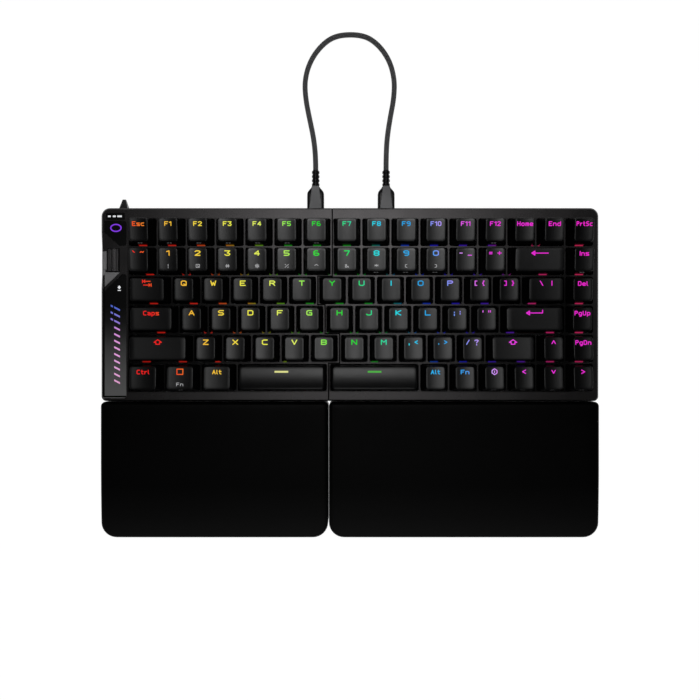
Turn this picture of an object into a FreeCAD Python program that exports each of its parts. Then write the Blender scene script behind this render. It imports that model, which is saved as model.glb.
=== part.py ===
import FreeCAD, Part
import math
import os
from FreeCAD import Vector

# Split keyboard in two halves, with a wrist rest before each half and a link cable at the rear.
# Millimetres. +X is to the user's right, +Y is to the rear, +Z is up.
# The origin is at the middle of the keyboard and its wrist rests, on the surface they stand on.

# Key grid
key_pitch = 19.05
web_width = 0.9
cell_radius = 1.5
split_gap = 0.5

# Keys of each row from left to right, in key units, rear row first
left_rows = [
    [1, 1, 1, 1, 1, 1, 1],
    [1, 1, 1, 1, 1, 1, 1],
    [1.5, 1, 1, 1, 1, 1],
    [1.75, 1, 1, 1, 1, 1],
    [2.25, 1, 1, 1, 1, 1],
    [1.25, 1.25, 1.25, 3.125],
]
right_rows = [
    [1, 1, 1, 1, 1, 1, 1, 1, 1],
    [1, 1, 1, 1, 1, 1, 2, 1],
    [1, 1, 1, 1, 1, 1, 1, 1.5, 1],
    [1, 1, 1, 1, 1, 1, 2.25, 1],
    [1, 1, 1, 1, 1, 1.75, 1, 1],
    [3.125, 1, 1, 1, 1, 1, 1],
]
# Wide keys that have a node of their own, by side, row and place in the row
wide_keys = {
    ("left", 2, 0): "tab_key",
    ("left", 3, 0): "caps_lock_key",
    ("left", 4, 0): "left_shift_key",
    ("left", 5, 3): "left_space_key",
    ("right", 1, 6): "backspace_key",
    ("right", 2, 7): "backslash_key",
    ("right", 3, 6): "enter_key",
    ("right", 4, 5): "right_shift_key",
    ("right", 5, 0): "right_space_key",
}

# Case
strip_width = 17.9
side_margin = 3.3
rear_margin = 6.5
front_margin = 6.0
deck_top = 22.0
deck_slab = 7.0
seam_height = 9.0
foot_stand = 1.2
floor_thickness = 2.0
wall = 1.4
rear_corner_radius = 5.5
front_corner_radius = 3.2
deck_chamfer = 1.0
base_chamfer = 1.5
scoop_depth = 0.6
scoop_ramp = 9.0
seat_clearance = 0.3

# Keys: rim of each row above the deck, and how far the top leans to the user
rim_heights = [10.3, 10.3, 7.7, 6.6, 8.5, 8.5]
top_leans = [7.0, 5.0, 2.0, 0.0, -3.0, -4.0]
keytop_width = 12.5
keytop_depth = 15.0
keytop_radius = 1.8
keycap_foot_radius = 1.2
keycap_wall = 1.2
keycap_top_wall = 1.2
keycap_clearance = 0.475
skirt_drop = 2.4
dish_depth = 0.4
space_top_inset = 5.2
space_crown_radius = 40.0
post_radius = 2.8
cross_length = 4.1
cross_width = 1.3
key_travel = 3.5
running_gap = 0.3

# Switches and what carries them
plate_drop = 8.0
plate_thickness = 1.5
housing_height = 6.0
housing_depth = 5.0
housing_floor = 1.0
housing_flange_size = 14.4
housing_flange = 0.8
housing_body_size = 13.9
housing_top_size = 11.0
switch_hole_size = 14.0
slider_width = 6.4
slider_depth = 5.4
slider_clearance = 0.3
board_thickness = 1.6
stabiliser_min_units = 2.0
stabiliser_reach_short = 11.94
stabiliser_reach_long = 19.05
stabiliser_width = 6.6
stabiliser_depth = 10.0
stabiliser_height = 5.0
stabiliser_slider_width = 4.0
stabiliser_slider_depth = 2.6
stabiliser_wire_radius = 0.7
stabiliser_wire_offset = 8.1
stabiliser_foot_height = 1.7

# Screws and posts
post_places = [1.0, 3.5, 6.0]
right_post_places = [8.0, 10.5, 13.0, 15.5]
screw_post_radius = 2.0
screw_post_inset = 3.7
screw_radius = 0.8
screw_head_radius = 1.5
screw_head_height = 0.9
screw_head_recess = 1.1
screw_bite = 4.0

# Rubber feet and folding feet
pad_length = 16.0
pad_width = 6.0
pad_recess = 0.5
pad_inset = 6.5
foot_length = 16.0
foot_width = 24.0
foot_thickness = 3.0
foot_from_rear = 9.0
foot_clearance = 0.4
foot_pin_radius = 1.1
foot_pin_length = 0.9
foot_pin_clearance = 0.05
foot_box_wall = 1.4
left_foot_places = [0.9, 4.9]
right_foot_places = [9.3, 14.5]

# Battery and foam
battery_width = 62.0
battery_depth = 44.0
battery_height = 4.0
battery_from_left = 40.0
battery_from_front = 22.0
foam_clearance = 0.5

# Control strip, measured from the left and rear edges of the case
inlay_thickness = 1.2
inlay_clearance = 0.15
window_left = 3.6
window_right = 15.4
window_rear = 3.5
window_front = 7.7
upper_left = 2.3
upper_right = 16.5
upper_rear = 8.7
upper_front = 24.7
upper_diagonal_drop = 8.6
upper_diagonal_run = 9.6
accent_left = 0.9
accent_right = 12.2
accent_front = 53.3
accent_ear_rear = 40.8
lower_left = 1.3
lower_right = 16.5
lower_rear = 43.5
lower_diagonal_drop = 12.1
lower_diagonal_run = 12.5
lower_from_front = 2.0
inlay_radius = 1.5
slash_count = 12
slash_pitch = 4.35
slash_width = 3.7
slash_height = 1.1
slash_fall = 1.9
slash_x = 10.45
slash_first = 66.2
light_dot_count = 3
light_dot_x = 7.0
light_dot_width = 1.4
light_gap = 0.1
strip_roof = 2.6
strip_rib = 2.5

# Wheel
wheel_from_left = 8.25
wheel_from_rear = 34.3
wheel_radius = 5.4
wheel_length = 14.4
wheel_stand = 1.2
wheel_gap = 0.4
wheel_rib_count = 24
wheel_rib_depth = 0.3
axle_radius = 1.2
axle_length = 1.6
axle_clearance = 0.05

# Mode switch on the rear wall
mode_from_left = 12.2
mode_height = 12.0
mode_ridge_width = 11.2
mode_ridge_depth = 0.8
mode_ridge_height = 5.0
mode_reach = 7.4
mode_base_width = 5.8
mode_base_height = 4.6
mode_tip_width = 2.0
mode_tip_height = 1.6
mode_stem_width = 3.0
mode_stem_height = 2.2
mode_travel = 2.0
mode_flange_width = 9.0
mode_flange_height = 4.0
mode_flange_depth = 1.0

# Sockets and plugs
link_left_x = -23.0
link_right_x = 24.3
charge_x = -99.7
socket_width = 8.94
socket_height = 3.16
socket_depth = 7.3
socket_bore_width = 8.34
socket_bore_height = 2.56
plug_shell_width = 8.2
plug_shell_height = 2.4
plug_shell_length = 6.4
plug_width = 11.3
plug_height = 6.6
plug_length = 16.0
plug_shoulder = 5.0
plug_neck_width = 5.0
plug_neck_height = 4.6
plug_gap = 0.4
plate_on_plug_rear = 4.8
plate_on_plug_front = 8.5
plate_on_plug_height = 0.5
relief_length = 11.0
relief_radius = 2.1
relief_rib_radius = 2.6
relief_rib_count = 4
relief_rib_length = 1.4
cable_radius = 1.75

# Wrist rests
rest_depth = 89.8
rest_gap = 0.6
rest_overhang = 0.95
rest_split_gap = 0.6
rest_height = 22.0
rest_seam = 10.0
rest_rear_radius = 3.0
rest_front_radius = 10.0
rest_edge_radius = 2.0
rest_wall = 2.5
rest_floor = 2.0
rest_rib = 2.0
rest_rib_count = 3

# Worked out from the sizes above
column_units = 16
rows = len(left_rows)
case_width = strip_width + column_units * key_pitch + split_gap + side_margin
case_depth = rear_margin + rows * key_pitch + front_margin
case_left = -case_width / 2
case_right = case_width / 2
whole_depth = rest_depth + rest_gap + case_depth + mode_reach
case_rear = whole_depth / 2 - mode_reach
case_front = case_rear - case_depth
grid_left = case_left + strip_width
grid_rear = case_rear - rear_margin
slab_bottom = deck_top - deck_slab
floor_top = foot_stand + floor_thickness
plate_top = deck_top - plate_drop
plate_bottom = plate_top - plate_thickness
housing_top = plate_top + housing_height
housing_bottom = plate_top - housing_depth
board_bottom = housing_bottom - board_thickness
skirt_bottom = deck_top - skirt_drop
post_bottom = housing_top + key_travel + running_gap
slider_bottom = housing_bottom + housing_floor + key_travel + running_gap
keycap_inset = web_width + 2 * keycap_clearance
top_inset = key_pitch - keytop_width
port_z = housing_bottom + socket_height / 2
accent_rear = wheel_from_rear + wheel_length / 2 + wheel_gap + inlay_clearance + running_gap
wheel_x = case_left + wheel_from_left
wheel_y = case_rear - wheel_from_rear
wheel_z = deck_top + wheel_stand - wheel_radius
mode_x = case_left + mode_from_left
relief_end = case_rear + plug_gap + plug_length + relief_length
far = 400.0

# The link cable's route from the left plug to the right plug, chosen by hand
cable_route = [
    Vector(link_left_x, relief_end, port_z),
    Vector(link_left_x, relief_end + 9.0, port_z),
    Vector(-24.5, 155.0, 8.0),
    Vector(-27.6, 169.7, 4.3),
    Vector(-30.3, 183.5, 2.0),
    Vector(-31.0, 196.6, 1.85),
    Vector(-27.1, 209.9, 1.85),
    Vector(-18.7, 221.2, 1.85),
    Vector(-8.5, 227.4, 1.85),
    Vector(8.7, 227.5, 1.85),
    Vector(19.0, 221.4, 1.85),
    Vector(27.1, 210.1, 1.85),
    Vector(30.6, 196.9, 1.85),
    Vector(30.1, 183.8, 2.0),
    Vector(27.4, 169.7, 4.3),
    Vector(25.1, 155.0, 8.0),
    Vector(link_right_x, relief_end + 9.0, port_z),
    Vector(link_right_x, relief_end, port_z),
]


def box(x0, x1, y0, y1, z0, z1):
    return Part.makeBox(x1 - x0, y1 - y0, z1 - z0, Vector(x0, y0, z0))


def centred_box(x, y, z0, z1, width, depth):
    return box(x - width / 2, x + width / 2, y - depth / 2, y + depth / 2, z0, z1)


def prism(points, z0, z1):
    turn = sum(a[0] * b[1] - b[0] * a[1] for a, b in zip(points, points[1:] + points[:1]))
    corners = [Vector(x, y, z0) for x, y in (points if turn > 0 else points[::-1])]
    wire = Part.makePolygon(corners + [corners[0]])
    return Part.Face(wire).extrude(Vector(0, 0, z1 - z0))


def cylinder(radius, height, base, direction):
    return Part.makeCylinder(radius, height, base, direction)


def rounded_rectangle(width, depth, radius):
    """Closed wire about the origin in the XY plane."""
    x = width / 2 - radius
    y = depth / 2 - radius
    slant = radius * math.sqrt(0.5)
    edges = []
    for turn, (px, py) in enumerate([(x, -y), (x, y), (-x, y), (-x, -y)]):
        angle = turn * math.pi / 2
        out = Vector(math.cos(angle), math.sin(angle), 0)
        back = Vector(math.sin(angle), -math.cos(angle), 0)
        centre = Vector(px, py, 0)
        first = centre + back * radius
        middle = centre + (back + out) * slant
        last = centre + out * radius
        edges.append(Part.Arc(first, middle, last).toShape())
        nx, ny = [(x, y), (-x, y), (-x, -y), (x, -y)][turn]
        edges.append(Part.LineSegment(last, Vector(nx, ny, 0) + out * radius).toShape())
    return Part.Wire(edges)


def rounded_block(x, y, z0, z1, width, depth, radius):
    wire = rounded_rectangle(width, depth, radius)
    wire.translate(Vector(x, y, z0))
    return Part.Face(wire).extrude(Vector(0, 0, z1 - z0))


def inset(points, distance):
    """Rectilinear outline, anticlockwise, with each side moved inwards."""
    moved = []
    for i, (x, y) in enumerate(points):
        shift = Vector(0, 0, 0)
        for a, b in ((points[i - 1], points[i]), (points[i], points[(i + 1) % len(points)])):
            side = Vector(b[0] - a[0], b[1] - a[1], 0).normalize()
            shift += Vector(-side.y, side.x, 0)
        moved.append((x + shift.x * distance, y + shift.y * distance))
    return moved


def row_start(side, row):
    """Left edge of a row of keys."""
    if side == "left":
        return grid_left
    return grid_left + split_gap + sum(left_rows[row]) * key_pitch


def keys_of(side):
    """Each key's node, row, size in units and middle."""
    keys = []
    for row, sizes in enumerate(left_rows if side == "left" else right_rows):
        x = row_start(side, row)
        y = grid_rear - (row + 0.5) * key_pitch
        for place, units in enumerate(sizes):
            node = wide_keys.get((side, row, place), "%s_row_%d_keys" % (side, row + 1))
            keys.append((node, row, units, x + units * key_pitch / 2, y))
            x += units * key_pitch
    return keys


def case_outline(side):
    """Anticlockwise outline of one half, stepped along the split."""
    steps = []
    for row in range(rows - 1, 0, -1):
        below = grid_left + sum(left_rows[row]) * key_pitch
        above = grid_left + sum(left_rows[row - 1]) * key_pitch
        if above == below:
            continue
        line = grid_rear - row * key_pitch
        lift = split_gap / 2 if above > below else -split_gap / 2
        steps.append((below, above, line, lift))
    front_x = grid_left + sum(left_rows[-1]) * key_pitch
    rear_x = grid_left + sum(left_rows[0]) * key_pitch
    if side == "left":
        points = [(case_left, case_front), (front_x, case_front)]
        for below, above, line, lift in steps:
            points += [(below, line + lift), (above, line + lift)]
        return points + [(rear_x, case_rear), (case_left, case_rear)]
    points = [(case_right, case_front), (case_right, case_rear), (rear_x + split_gap, case_rear)]
    for below, above, line, lift in reversed(steps):
        points += [(above + split_gap, line - lift), (below + split_gap, line - lift)]
    return points + [(front_x + split_gap, case_front)]


def outer_corners(side):
    x = case_left if side == "left" else case_right
    return [(x, case_rear, rear_corner_radius), (x, case_front, front_corner_radius)]


def round_corners(solid, corners):
    """Fillet the upright edges at the given corners."""
    for x, y, radius in corners:
        picked = []
        for edge in solid.Edges:
            middle = edge.CenterOfMass
            if math.hypot(middle.x - x, middle.y - y) < 0.01:
                picked.append(edge)
        solid = solid.makeFillet(radius, picked)
    return solid


def outer_edges(solid, side, z):
    """Edges of the level face at z that don't lie along the split."""
    outer_x = case_left if side == "left" else case_right
    picked = []
    for edge in solid.Edges:
        middle = edge.CenterOfMass
        if edge.BoundBox.ZLength > 0.001 or abs(middle.z - z) > 0.001:
            continue
        near_side = abs(middle.x - outer_x) < rear_corner_radius
        near_rear = case_rear - middle.y < 0.01
        near_front = middle.y - case_front < 0.01
        if near_side or near_rear or near_front:
            picked.append(edge)
    return picked


def shell_wall(side, inner, z0, z1):
    outline = case_outline(side)
    outer = round_corners(prism(outline, z0, z1), outer_corners(side))
    hollow = prism(inset(outline, inner), z0, z1)
    corners = []
    for x, y, radius in outer_corners(side):
        inwards_x = inner if side == "left" else -inner
        inwards_y = -inner if y > grid_rear else inner
        corners.append((x + inwards_x, y + inwards_y, radius - inner))
    return outer.cut(round_corners(hollow, corners))


def post_centres(side):
    places = post_places if side == "left" else right_post_places
    offset = 0 if side == "left" else split_gap
    centres = []
    for place in places:
        x = grid_left + offset + place * key_pitch
        centres.append((x, case_rear - screw_post_inset))
        centres.append((x, case_front + screw_post_inset))
    return centres


def cylinders_at(centres, radius, z0, z1):
    return [cylinder(radius, z1 - z0, Vector(x, y, z0), Vector(0, 0, 1)) for x, y in centres]


def port_places(side):
    return [link_left_x, charge_x] if side == "left" else [link_right_x]


def strip_points(points):
    """Points of the strip, from distances to the left and rear edges of the case."""
    return [(case_left + x, case_rear - y) for x, y in points]


def upper_inlay_points():
    return [
        (upper_left, upper_rear),
        (upper_left, upper_front - upper_diagonal_drop),
        (upper_left + upper_diagonal_run, upper_front),
        (upper_right, upper_front),
        (upper_right, upper_rear),
    ]


def accent_points():
    depth = wheel_z - (deck_top - inlay_thickness)
    half = math.sqrt((wheel_radius + wheel_gap) ** 2 - depth ** 2)
    ear_right = wheel_from_left - half - inlay_clearance - running_gap
    return [
        (accent_left, accent_ear_rear),
        (accent_left, accent_front),
        (accent_right, accent_rear),
        (ear_right, accent_rear),
        (ear_right, accent_ear_rear),
    ]


def lower_inlay_points():
    front = case_depth - lower_from_front
    return [
        (lower_left, lower_rear + lower_diagonal_drop),
        (lower_left, front),
        (lower_right, front),
        (lower_right, lower_rear),
        (lower_left + lower_diagonal_run, lower_rear),
    ]


def window_points():
    return [
        (window_left, window_rear),
        (window_left, window_front),
        (window_right, window_front),
        (window_right, window_rear),
    ]


def inlay(points, z0, grow=0.0):
    """One flat inlay of the strip, or its pocket when it is grown."""
    shape = prism(strip_points(points), z0, deck_top)
    right = max(x for x, y in points)
    rounded = [(x, y, inlay_radius) for x, y in strip_points(points)
               if abs(x - case_left - right) < 0.01 and len(points) > 4]
    if len(rounded) < 2:
        rounded = []
    shape = round_corners(shape, rounded)
    if grow == 0.0:
        return shape
    swollen = []
    for dx, dy in ((grow, 0), (-grow, 0), (0, grow), (0, -grow)):
        copy = shape.copy()
        copy.translate(Vector(dx, dy, 0))
        swollen.append(copy)
    return shape.multiFuse(swollen).removeSplitter()


def wheel_pocket():
    length = wheel_length + 2 * wheel_gap
    start = Vector(wheel_x, wheel_y - length / 2, wheel_z)
    pocket = cylinder(wheel_radius + wheel_gap, length, start, Vector(0, 1, 0))
    reach = length / 2 + axle_length + axle_clearance
    start = Vector(wheel_x, wheel_y - reach, wheel_z)
    return pocket.fuse(cylinder(axle_radius + axle_clearance, 2 * reach, start, Vector(0, 1, 0)))


def scoop_cut():
    """Shallow finger scoop in the left side beside the wheel."""
    half = wheel_length / 2 + 2
    outside = case_left - 5
    points = [
        (outside, wheel_y - half - scoop_ramp),
        (case_left, wheel_y - half - scoop_ramp),
        (case_left + scoop_depth, wheel_y - half),
        (case_left + scoop_depth, wheel_y + half),
        (case_left, wheel_y + half + scoop_ramp),
        (outside, wheel_y + half + scoop_ramp),
    ]
    return prism(points, 0, deck_top + 5)


def top_case(side):
    outline = case_outline(side)
    slab = round_corners(prism(outline, slab_bottom, deck_top), outer_corners(side))
    slab = slab.makeChamfer(deck_chamfer, outer_edges(slab, side, deck_top))
    cuts = []
    for node, row, units, x, y in keys_of(side):
        width = units * key_pitch - web_width
        depth = key_pitch - web_width
        cuts.append(rounded_block(x, y, slab_bottom - 1, deck_top + 1, width, depth, cell_radius))
    shape = slab.cut(Part.makeCompound(cuts))
    shape = shape.fuse(shell_wall(side, wall, seam_height, slab_bottom))
    bosses = cylinders_at(post_centres(side), screw_post_radius, seam_height, slab_bottom)
    shape = shape.multiFuse(bosses)
    cuts = cylinders_at(post_centres(side), screw_radius, seam_height, seam_height + screw_bite)
    for x in port_places(side):
        rear = case_rear + 1
        front = case_rear - wall - 1
        half = socket_width / 2 + running_gap
        top = port_z + socket_height / 2 + running_gap
        cuts.append(box(x - half, x + half, front, rear, seam_height - 1, top))
    if side == "left":
        half = mode_ridge_height / 2
        ridge = centred_box(mode_x, case_rear + mode_ridge_depth / 2, mode_height - half,
                            mode_height + half, mode_ridge_width, mode_ridge_depth)
        shape = shape.fuse(ridge)
        slot_width = mode_stem_width + 2 * mode_travel + 2 * running_gap
        half = mode_stem_height / 2 + running_gap
        slot_depth = 2 * (wall + mode_ridge_depth + 1)
        cuts.append(centred_box(mode_x, case_rear, mode_height - half, mode_height + half,
                                slot_width, slot_depth))
        bottom = deck_top - inlay_thickness
        for points in (window_points(), upper_inlay_points(), lower_inlay_points(),
                       accent_points()):
            cuts.append(inlay(points, bottom, inlay_clearance))
        cuts.append(wheel_pocket())
        cuts.append(scoop_cut())
        hollow_rear = case_rear - lower_rear - strip_rib
        cuts.append(box(case_left + strip_rib, grid_left - strip_rib, case_front + strip_rib,
                        hollow_rear, slab_bottom - 1, deck_top - inlay_thickness - strip_roof))
    for cut in cuts:
        shape = shape.cut(cut)
    return shape.removeSplitter()


def foot_places(side):
    places = left_foot_places if side == "left" else right_foot_places
    names = ["outer", "inner"] if side == "left" else ["inner", "outer"]
    offset = 0 if side == "left" else split_gap
    found = []
    for name, place in zip(names, places):
        x = grid_left + offset + (place + 0.6) * key_pitch
        found.append(("%s_%s_foot" % (side, name), x))
    return found


def foot_axis():
    """Y and Z of the folding feet's hinge line."""
    return case_rear - foot_from_rear, foot_stand + foot_thickness / 2


def foot_pocket(x):
    hinge_y, hinge_z = foot_axis()
    half = foot_width / 2 + foot_clearance
    rear = hinge_y + foot_thickness / 2 + foot_clearance
    front = hinge_y - foot_length - foot_clearance
    top = foot_stand + foot_thickness + foot_clearance
    return x - half, x + half, front, rear, foot_stand - 1, top


def foot_pins(x, radius, extra):
    hinge_y, hinge_z = foot_axis()
    reach = foot_width / 2 + foot_clearance + foot_pin_length + extra
    return cylinder(radius, 2 * reach, Vector(x - reach, hinge_y, hinge_z), Vector(1, 0, 0))


def bottom_case(side):
    outline = case_outline(side)
    tray = round_corners(prism(outline, foot_stand, floor_top), outer_corners(side))
    tray = tray.makeChamfer(base_chamfer, outer_edges(tray, side, foot_stand))
    shape = tray.fuse(shell_wall(side, wall, floor_top, seam_height))
    shape = shape.multiFuse(
        cylinders_at(post_centres(side), screw_post_radius, floor_top, seam_height))
    cuts = cylinders_at(post_centres(side), screw_radius, foot_stand, seam_height)
    cuts += cylinders_at(post_centres(side), screw_head_radius + foot_pin_clearance,
                         foot_stand, foot_stand + screw_head_recess)
    for name, x in foot_places(side):
        x0, x1, y0, y1, z0, z1 = foot_pocket(x)
        shape = shape.fuse(box(x0 - foot_box_wall, x1 + foot_box_wall, y0 - foot_box_wall,
                               y1 + foot_box_wall, floor_top, z1 + foot_box_wall))
        cuts.append(box(x0, x1, y0, y1, z0, z1))
        cuts.append(foot_pins(x, foot_pin_radius + foot_pin_clearance, running_gap))
    for x, y in pad_centres(side):
        cuts.append(centred_box(x, y, foot_stand, foot_stand + pad_recess, pad_length, pad_width))
    if side == "left":
        cuts.append(scoop_cut())
    for cut in cuts:
        shape = shape.cut(cut)
    return shape.removeSplitter()


def pad_centres(side):
    """Rubber feet near the corners of one half."""
    front_x = grid_left + sum(left_rows[-1]) * key_pitch
    rear_x = grid_left + sum(left_rows[0]) * key_pitch
    inwards = pad_length / 2 + pad_inset
    rear = case_rear - pad_width / 2 - 2 * pad_inset - foot_length - foot_thickness
    front = case_front + pad_width / 2 + pad_inset
    if side == "left":
        return [(case_left + inwards, rear), (rear_x - 2 * inwards, rear),
                (case_left + inwards, front), (front_x - inwards, front)]
    return [(rear_x + split_gap + inwards, rear), (case_right - inwards, rear),
            (front_x + split_gap + inwards, front), (case_right - inwards, front)]


def rubber_pads(centres):
    return Part.makeCompound([
        rounded_block(x, y, 0, foot_stand + pad_recess, pad_length, pad_width, pad_width / 4)
        for x, y in centres])


def folding_foot(x):
    hinge_y, hinge_z = foot_axis()
    half = foot_thickness / 2
    shape = box(x - foot_width / 2, x + foot_width / 2, hinge_y - foot_length + half, hinge_y,
                foot_stand, foot_stand + foot_thickness)
    for y in (hinge_y, hinge_y - foot_length + half):
        start = Vector(x - foot_width / 2, y, hinge_z)
        shape = shape.fuse(cylinder(half, foot_width, start, Vector(1, 0, 0)))
    return shape.fuse(foot_pins(x, foot_pin_radius, 0)).removeSplitter()


def switch_plate(side):
    outline = inset(case_outline(side), wall + seat_clearance)
    plate = prism(outline, plate_bottom, plate_top)
    rear = grid_rear
    front = grid_rear - rows * key_pitch
    left = grid_left if side == "left" else case_left
    right = case_right - side_margin if side == "right" else case_right
    plate = plate.common(box(left, right, front, rear, 0, far))
    holes = []
    for node, row, units, x, y in keys_of(side):
        holes.append(centred_box(x, y, 0, far, switch_hole_size, switch_hole_size))
    return plate.cut(Part.makeCompound(holes))


def switch_housing():
    """Housing about the origin, with the plate's top face at z = 0."""
    lower = centred_box(0, 0, -housing_depth, 0, housing_body_size, housing_body_size)
    flange = centred_box(0, 0, 0, housing_flange, housing_flange_size, housing_flange_size)
    foot = rounded_rectangle(housing_body_size, housing_body_size, 1.0)
    foot.translate(Vector(0, 0, housing_flange))
    crown = rounded_rectangle(housing_top_size, housing_top_size, 1.0)
    crown.translate(Vector(0, 0, housing_height))
    upper = Part.makeLoft([foot, crown], True, True)
    shape = lower.fuse(flange).fuse(upper)
    bore = centred_box(0, 0, housing_floor - housing_depth, housing_height + 1,
                       slider_width + 2 * slider_clearance, slider_depth + 2 * slider_clearance)
    return shape.cut(bore).removeSplitter()


def switch_housings(side):
    pattern = switch_housing()
    copies = []
    for node, row, units, x, y in keys_of(side):
        copy = pattern.copy()
        copy.translate(Vector(x, y, plate_top))
        copies.append(copy)
    return Part.makeCompound(copies)


def stabiliser_reach(units):
    return stabiliser_reach_long if units > 3 else stabiliser_reach_short


def stabilisers(side):
    """Two guides and a wire under each key of two units and wider."""
    solids = []
    for node, row, units, x, y in keys_of(side):
        if units < stabiliser_min_units:
            continue
        reach = stabiliser_reach(units)
        front = y - stabiliser_wire_offset - stabiliser_wire_radius
        for end in (-1, 1):
            middle = x + end * reach
            guide = centred_box(middle, y, plate_top, plate_top + stabiliser_height,
                                stabiliser_width, stabiliser_depth)
            toe = box(middle - stabiliser_width / 2, middle + stabiliser_width / 2, front, y,
                      plate_top, plate_top + stabiliser_foot_height)
            bore = centred_box(middle, y, plate_top, far,
                               stabiliser_slider_width + 2 * slider_clearance,
                               stabiliser_slider_depth + 2 * slider_clearance)
            solids.append(guide.fuse(toe).cut(bore).removeSplitter())
        length = 2 * reach - stabiliser_width
        start = Vector(x - length / 2, y - stabiliser_wire_offset,
                       plate_top + stabiliser_wire_radius)
        solids.append(cylinder(stabiliser_wire_radius, length, start, Vector(1, 0, 0)))
    return Part.makeCompound(solids)


def circuit_board(side):
    board = prism(inset(case_outline(side), wall + seat_clearance), board_bottom, housing_bottom)
    holes = cylinders_at(post_centres(side), screw_post_radius + seat_clearance, 0, far)
    corner = rear_corner_radius
    edge = case_left if side == "left" else case_right
    holes.append(centred_box(edge, case_rear, 0, far, 2 * corner, 2 * corner))
    holes.append(centred_box(edge, case_front, 0, far, 2 * corner, 2 * corner))
    return board.cut(Part.makeCompound(holes))


def battery_box():
    x0 = case_left + battery_from_left
    y0 = case_front + battery_from_front
    return x0, x0 + battery_width, y0, y0 + battery_depth


def damping_pad(side):
    pad = prism(inset(case_outline(side), wall + seat_clearance), floor_top, board_bottom)
    holes = cylinders_at(post_centres(side), screw_post_radius + foam_clearance, 0, far)
    for name, x in foot_places(side):
        x0, x1, y0, y1, z0, z1 = foot_pocket(x)
        grow = foot_box_wall + foam_clearance
        holes.append(box(x0 - grow, x1 + grow, y0 - grow, case_rear, 0, far))
    corner = rear_corner_radius
    edge = case_left if side == "left" else case_right
    holes.append(centred_box(edge, case_rear, 0, far, 2 * corner, 2 * corner))
    holes.append(centred_box(edge, case_front, 0, far, 2 * corner, 2 * corner))
    if side == "left":
        x0, x1, y0, y1 = battery_box()
        grow = foam_clearance
        holes.append(box(x0 - grow, x1 + grow, y0 - grow, y1 + grow, 0, far))
    for hole in holes:
        pad = pad.cut(hole)
    return pad


def battery():
    x0, x1, y0, y1 = battery_box()
    return box(x0, x1, y0, y1, floor_top, floor_top + battery_height)


def case_screws(side):
    solids = []
    head_z = foot_stand + screw_head_recess
    for x, y in post_centres(side):
        up = Vector(0, 0, 1)
        head = cylinder(screw_head_radius, screw_head_height,
                        Vector(x, y, head_z - screw_head_height), up)
        shank = cylinder(screw_radius, seam_height + screw_bite - head_z - running_gap,
                         Vector(x, y, head_z), up)
        solids.append(head.fuse(shank).removeSplitter())
    return Part.makeCompound(solids)


def usb_socket(x):
    z = port_z
    front = case_rear - socket_depth
    shell = rounded_slot(x, z, front, case_rear, socket_width, socket_height)
    bore = rounded_slot(x, z, front + 0.4, case_rear + 1, socket_bore_width, socket_bore_height)
    return shell.cut(bore)


def rounded_slot(x, z, y0, y1, width, height):
    """Bar along Y with a stadium section, as in a small oval connector."""
    wire = rounded_rectangle(width, height, height / 2 - 0.001)
    wire.rotate(Vector(0, 0, 0), Vector(1, 0, 0), 90)
    wire.translate(Vector(x, y0, z))
    return Part.Face(wire).extrude(Vector(0, y1 - y0, 0))


def section(y, x, z, width, height, radius):
    wire = rounded_rectangle(width, height, radius)
    wire.rotate(Vector(0, 0, 0), Vector(1, 0, 0), 90)
    wire.translate(Vector(x, y, z))
    return wire


def cable_plug(x):
    """Moulded plug with its strain relief and raised plate, and its metal shell."""
    start = case_rear + plug_gap
    shoulder = start + plug_length - plug_shoulder
    end = start + plug_length
    body = Part.makeLoft([section(start, x, port_z, plug_width, plug_height, 1.6),
                          section(shoulder, x, port_z, plug_width, plug_height, 1.6)], True, True)
    taper = Part.makeLoft([section(shoulder, x, port_z, plug_width, plug_height, 1.6),
                           section(end, x, port_z, plug_neck_width, plug_neck_height, 1.6)],
                          True, True)
    relief = cylinder(relief_radius, relief_length, Vector(x, end, port_z), Vector(0, 1, 0))
    body = body.fuse(taper).fuse(relief)
    pitch = relief_length / relief_rib_count
    for i in range(relief_rib_count):
        at = end + (i + 0.5) * pitch - relief_rib_length / 2
        rib = cylinder(relief_rib_radius, relief_rib_length, Vector(x, at, port_z),
                       Vector(0, 1, 0))
        body = body.fuse(rib)
    top = port_z + plug_height / 2
    half_front = plate_on_plug_front / 2
    half_rear = plate_on_plug_rear / 2
    points = [(x - half_front, start), (x + half_front, start), (x + half_rear, end),
              (x - half_rear, end)]
    body = body.fuse(prism(points, port_z, top + plate_on_plug_height)).removeSplitter()
    shell = rounded_slot(x, port_z, start - plug_shell_length, start, plug_shell_width,
                         plug_shell_height)
    return Part.makeCompound([body, shell])


def rounded_path(points):
    """Straight runs joined by tangent arcs, each as large as its two runs allow."""
    edges = []
    radii = []
    start = points[0]
    for before, corner, after in zip(points, points[1:], points[2:]):
        back = before - corner
        ahead = after - corner
        half_turn = (math.pi - back.getAngle(ahead)) / 2
        reach = 0.45 * min(back.Length, ahead.Length)
        radius = reach / math.tan(half_turn)
        radii.append(radius)
        back.normalize()
        ahead.normalize()
        first = corner + back * reach
        last = corner + ahead * reach
        inwards = (back + ahead).normalize()
        middle = corner + inwards * (radius / math.cos(half_turn) - radius)
        edges.append(Part.LineSegment(start, first).toShape())
        edges.append(Part.Arc(first, middle, last).toShape())
        start = last
    edges.append(Part.LineSegment(start, points[-1]).toShape())
    return Part.Wire(edges), radii


def link_cable():
    path, radii = rounded_path(cable_route)
    direction = cable_route[1] - cable_route[0]
    circle = Part.Circle(cable_route[0], direction, cable_radius)
    tube = path.makePipeShell([Part.Wire([circle.toShape()])], True, False)
    print("cable length", round(path.Length, 1), "least radius", round(min(radii), 1))
    print("cable radii", [round(radius) for radius in radii])
    expected = math.pi * cable_radius ** 2 * path.Length
    print("cable volume", round(tube.Volume, 1), "expected", round(expected, 1))
    return tube


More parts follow.
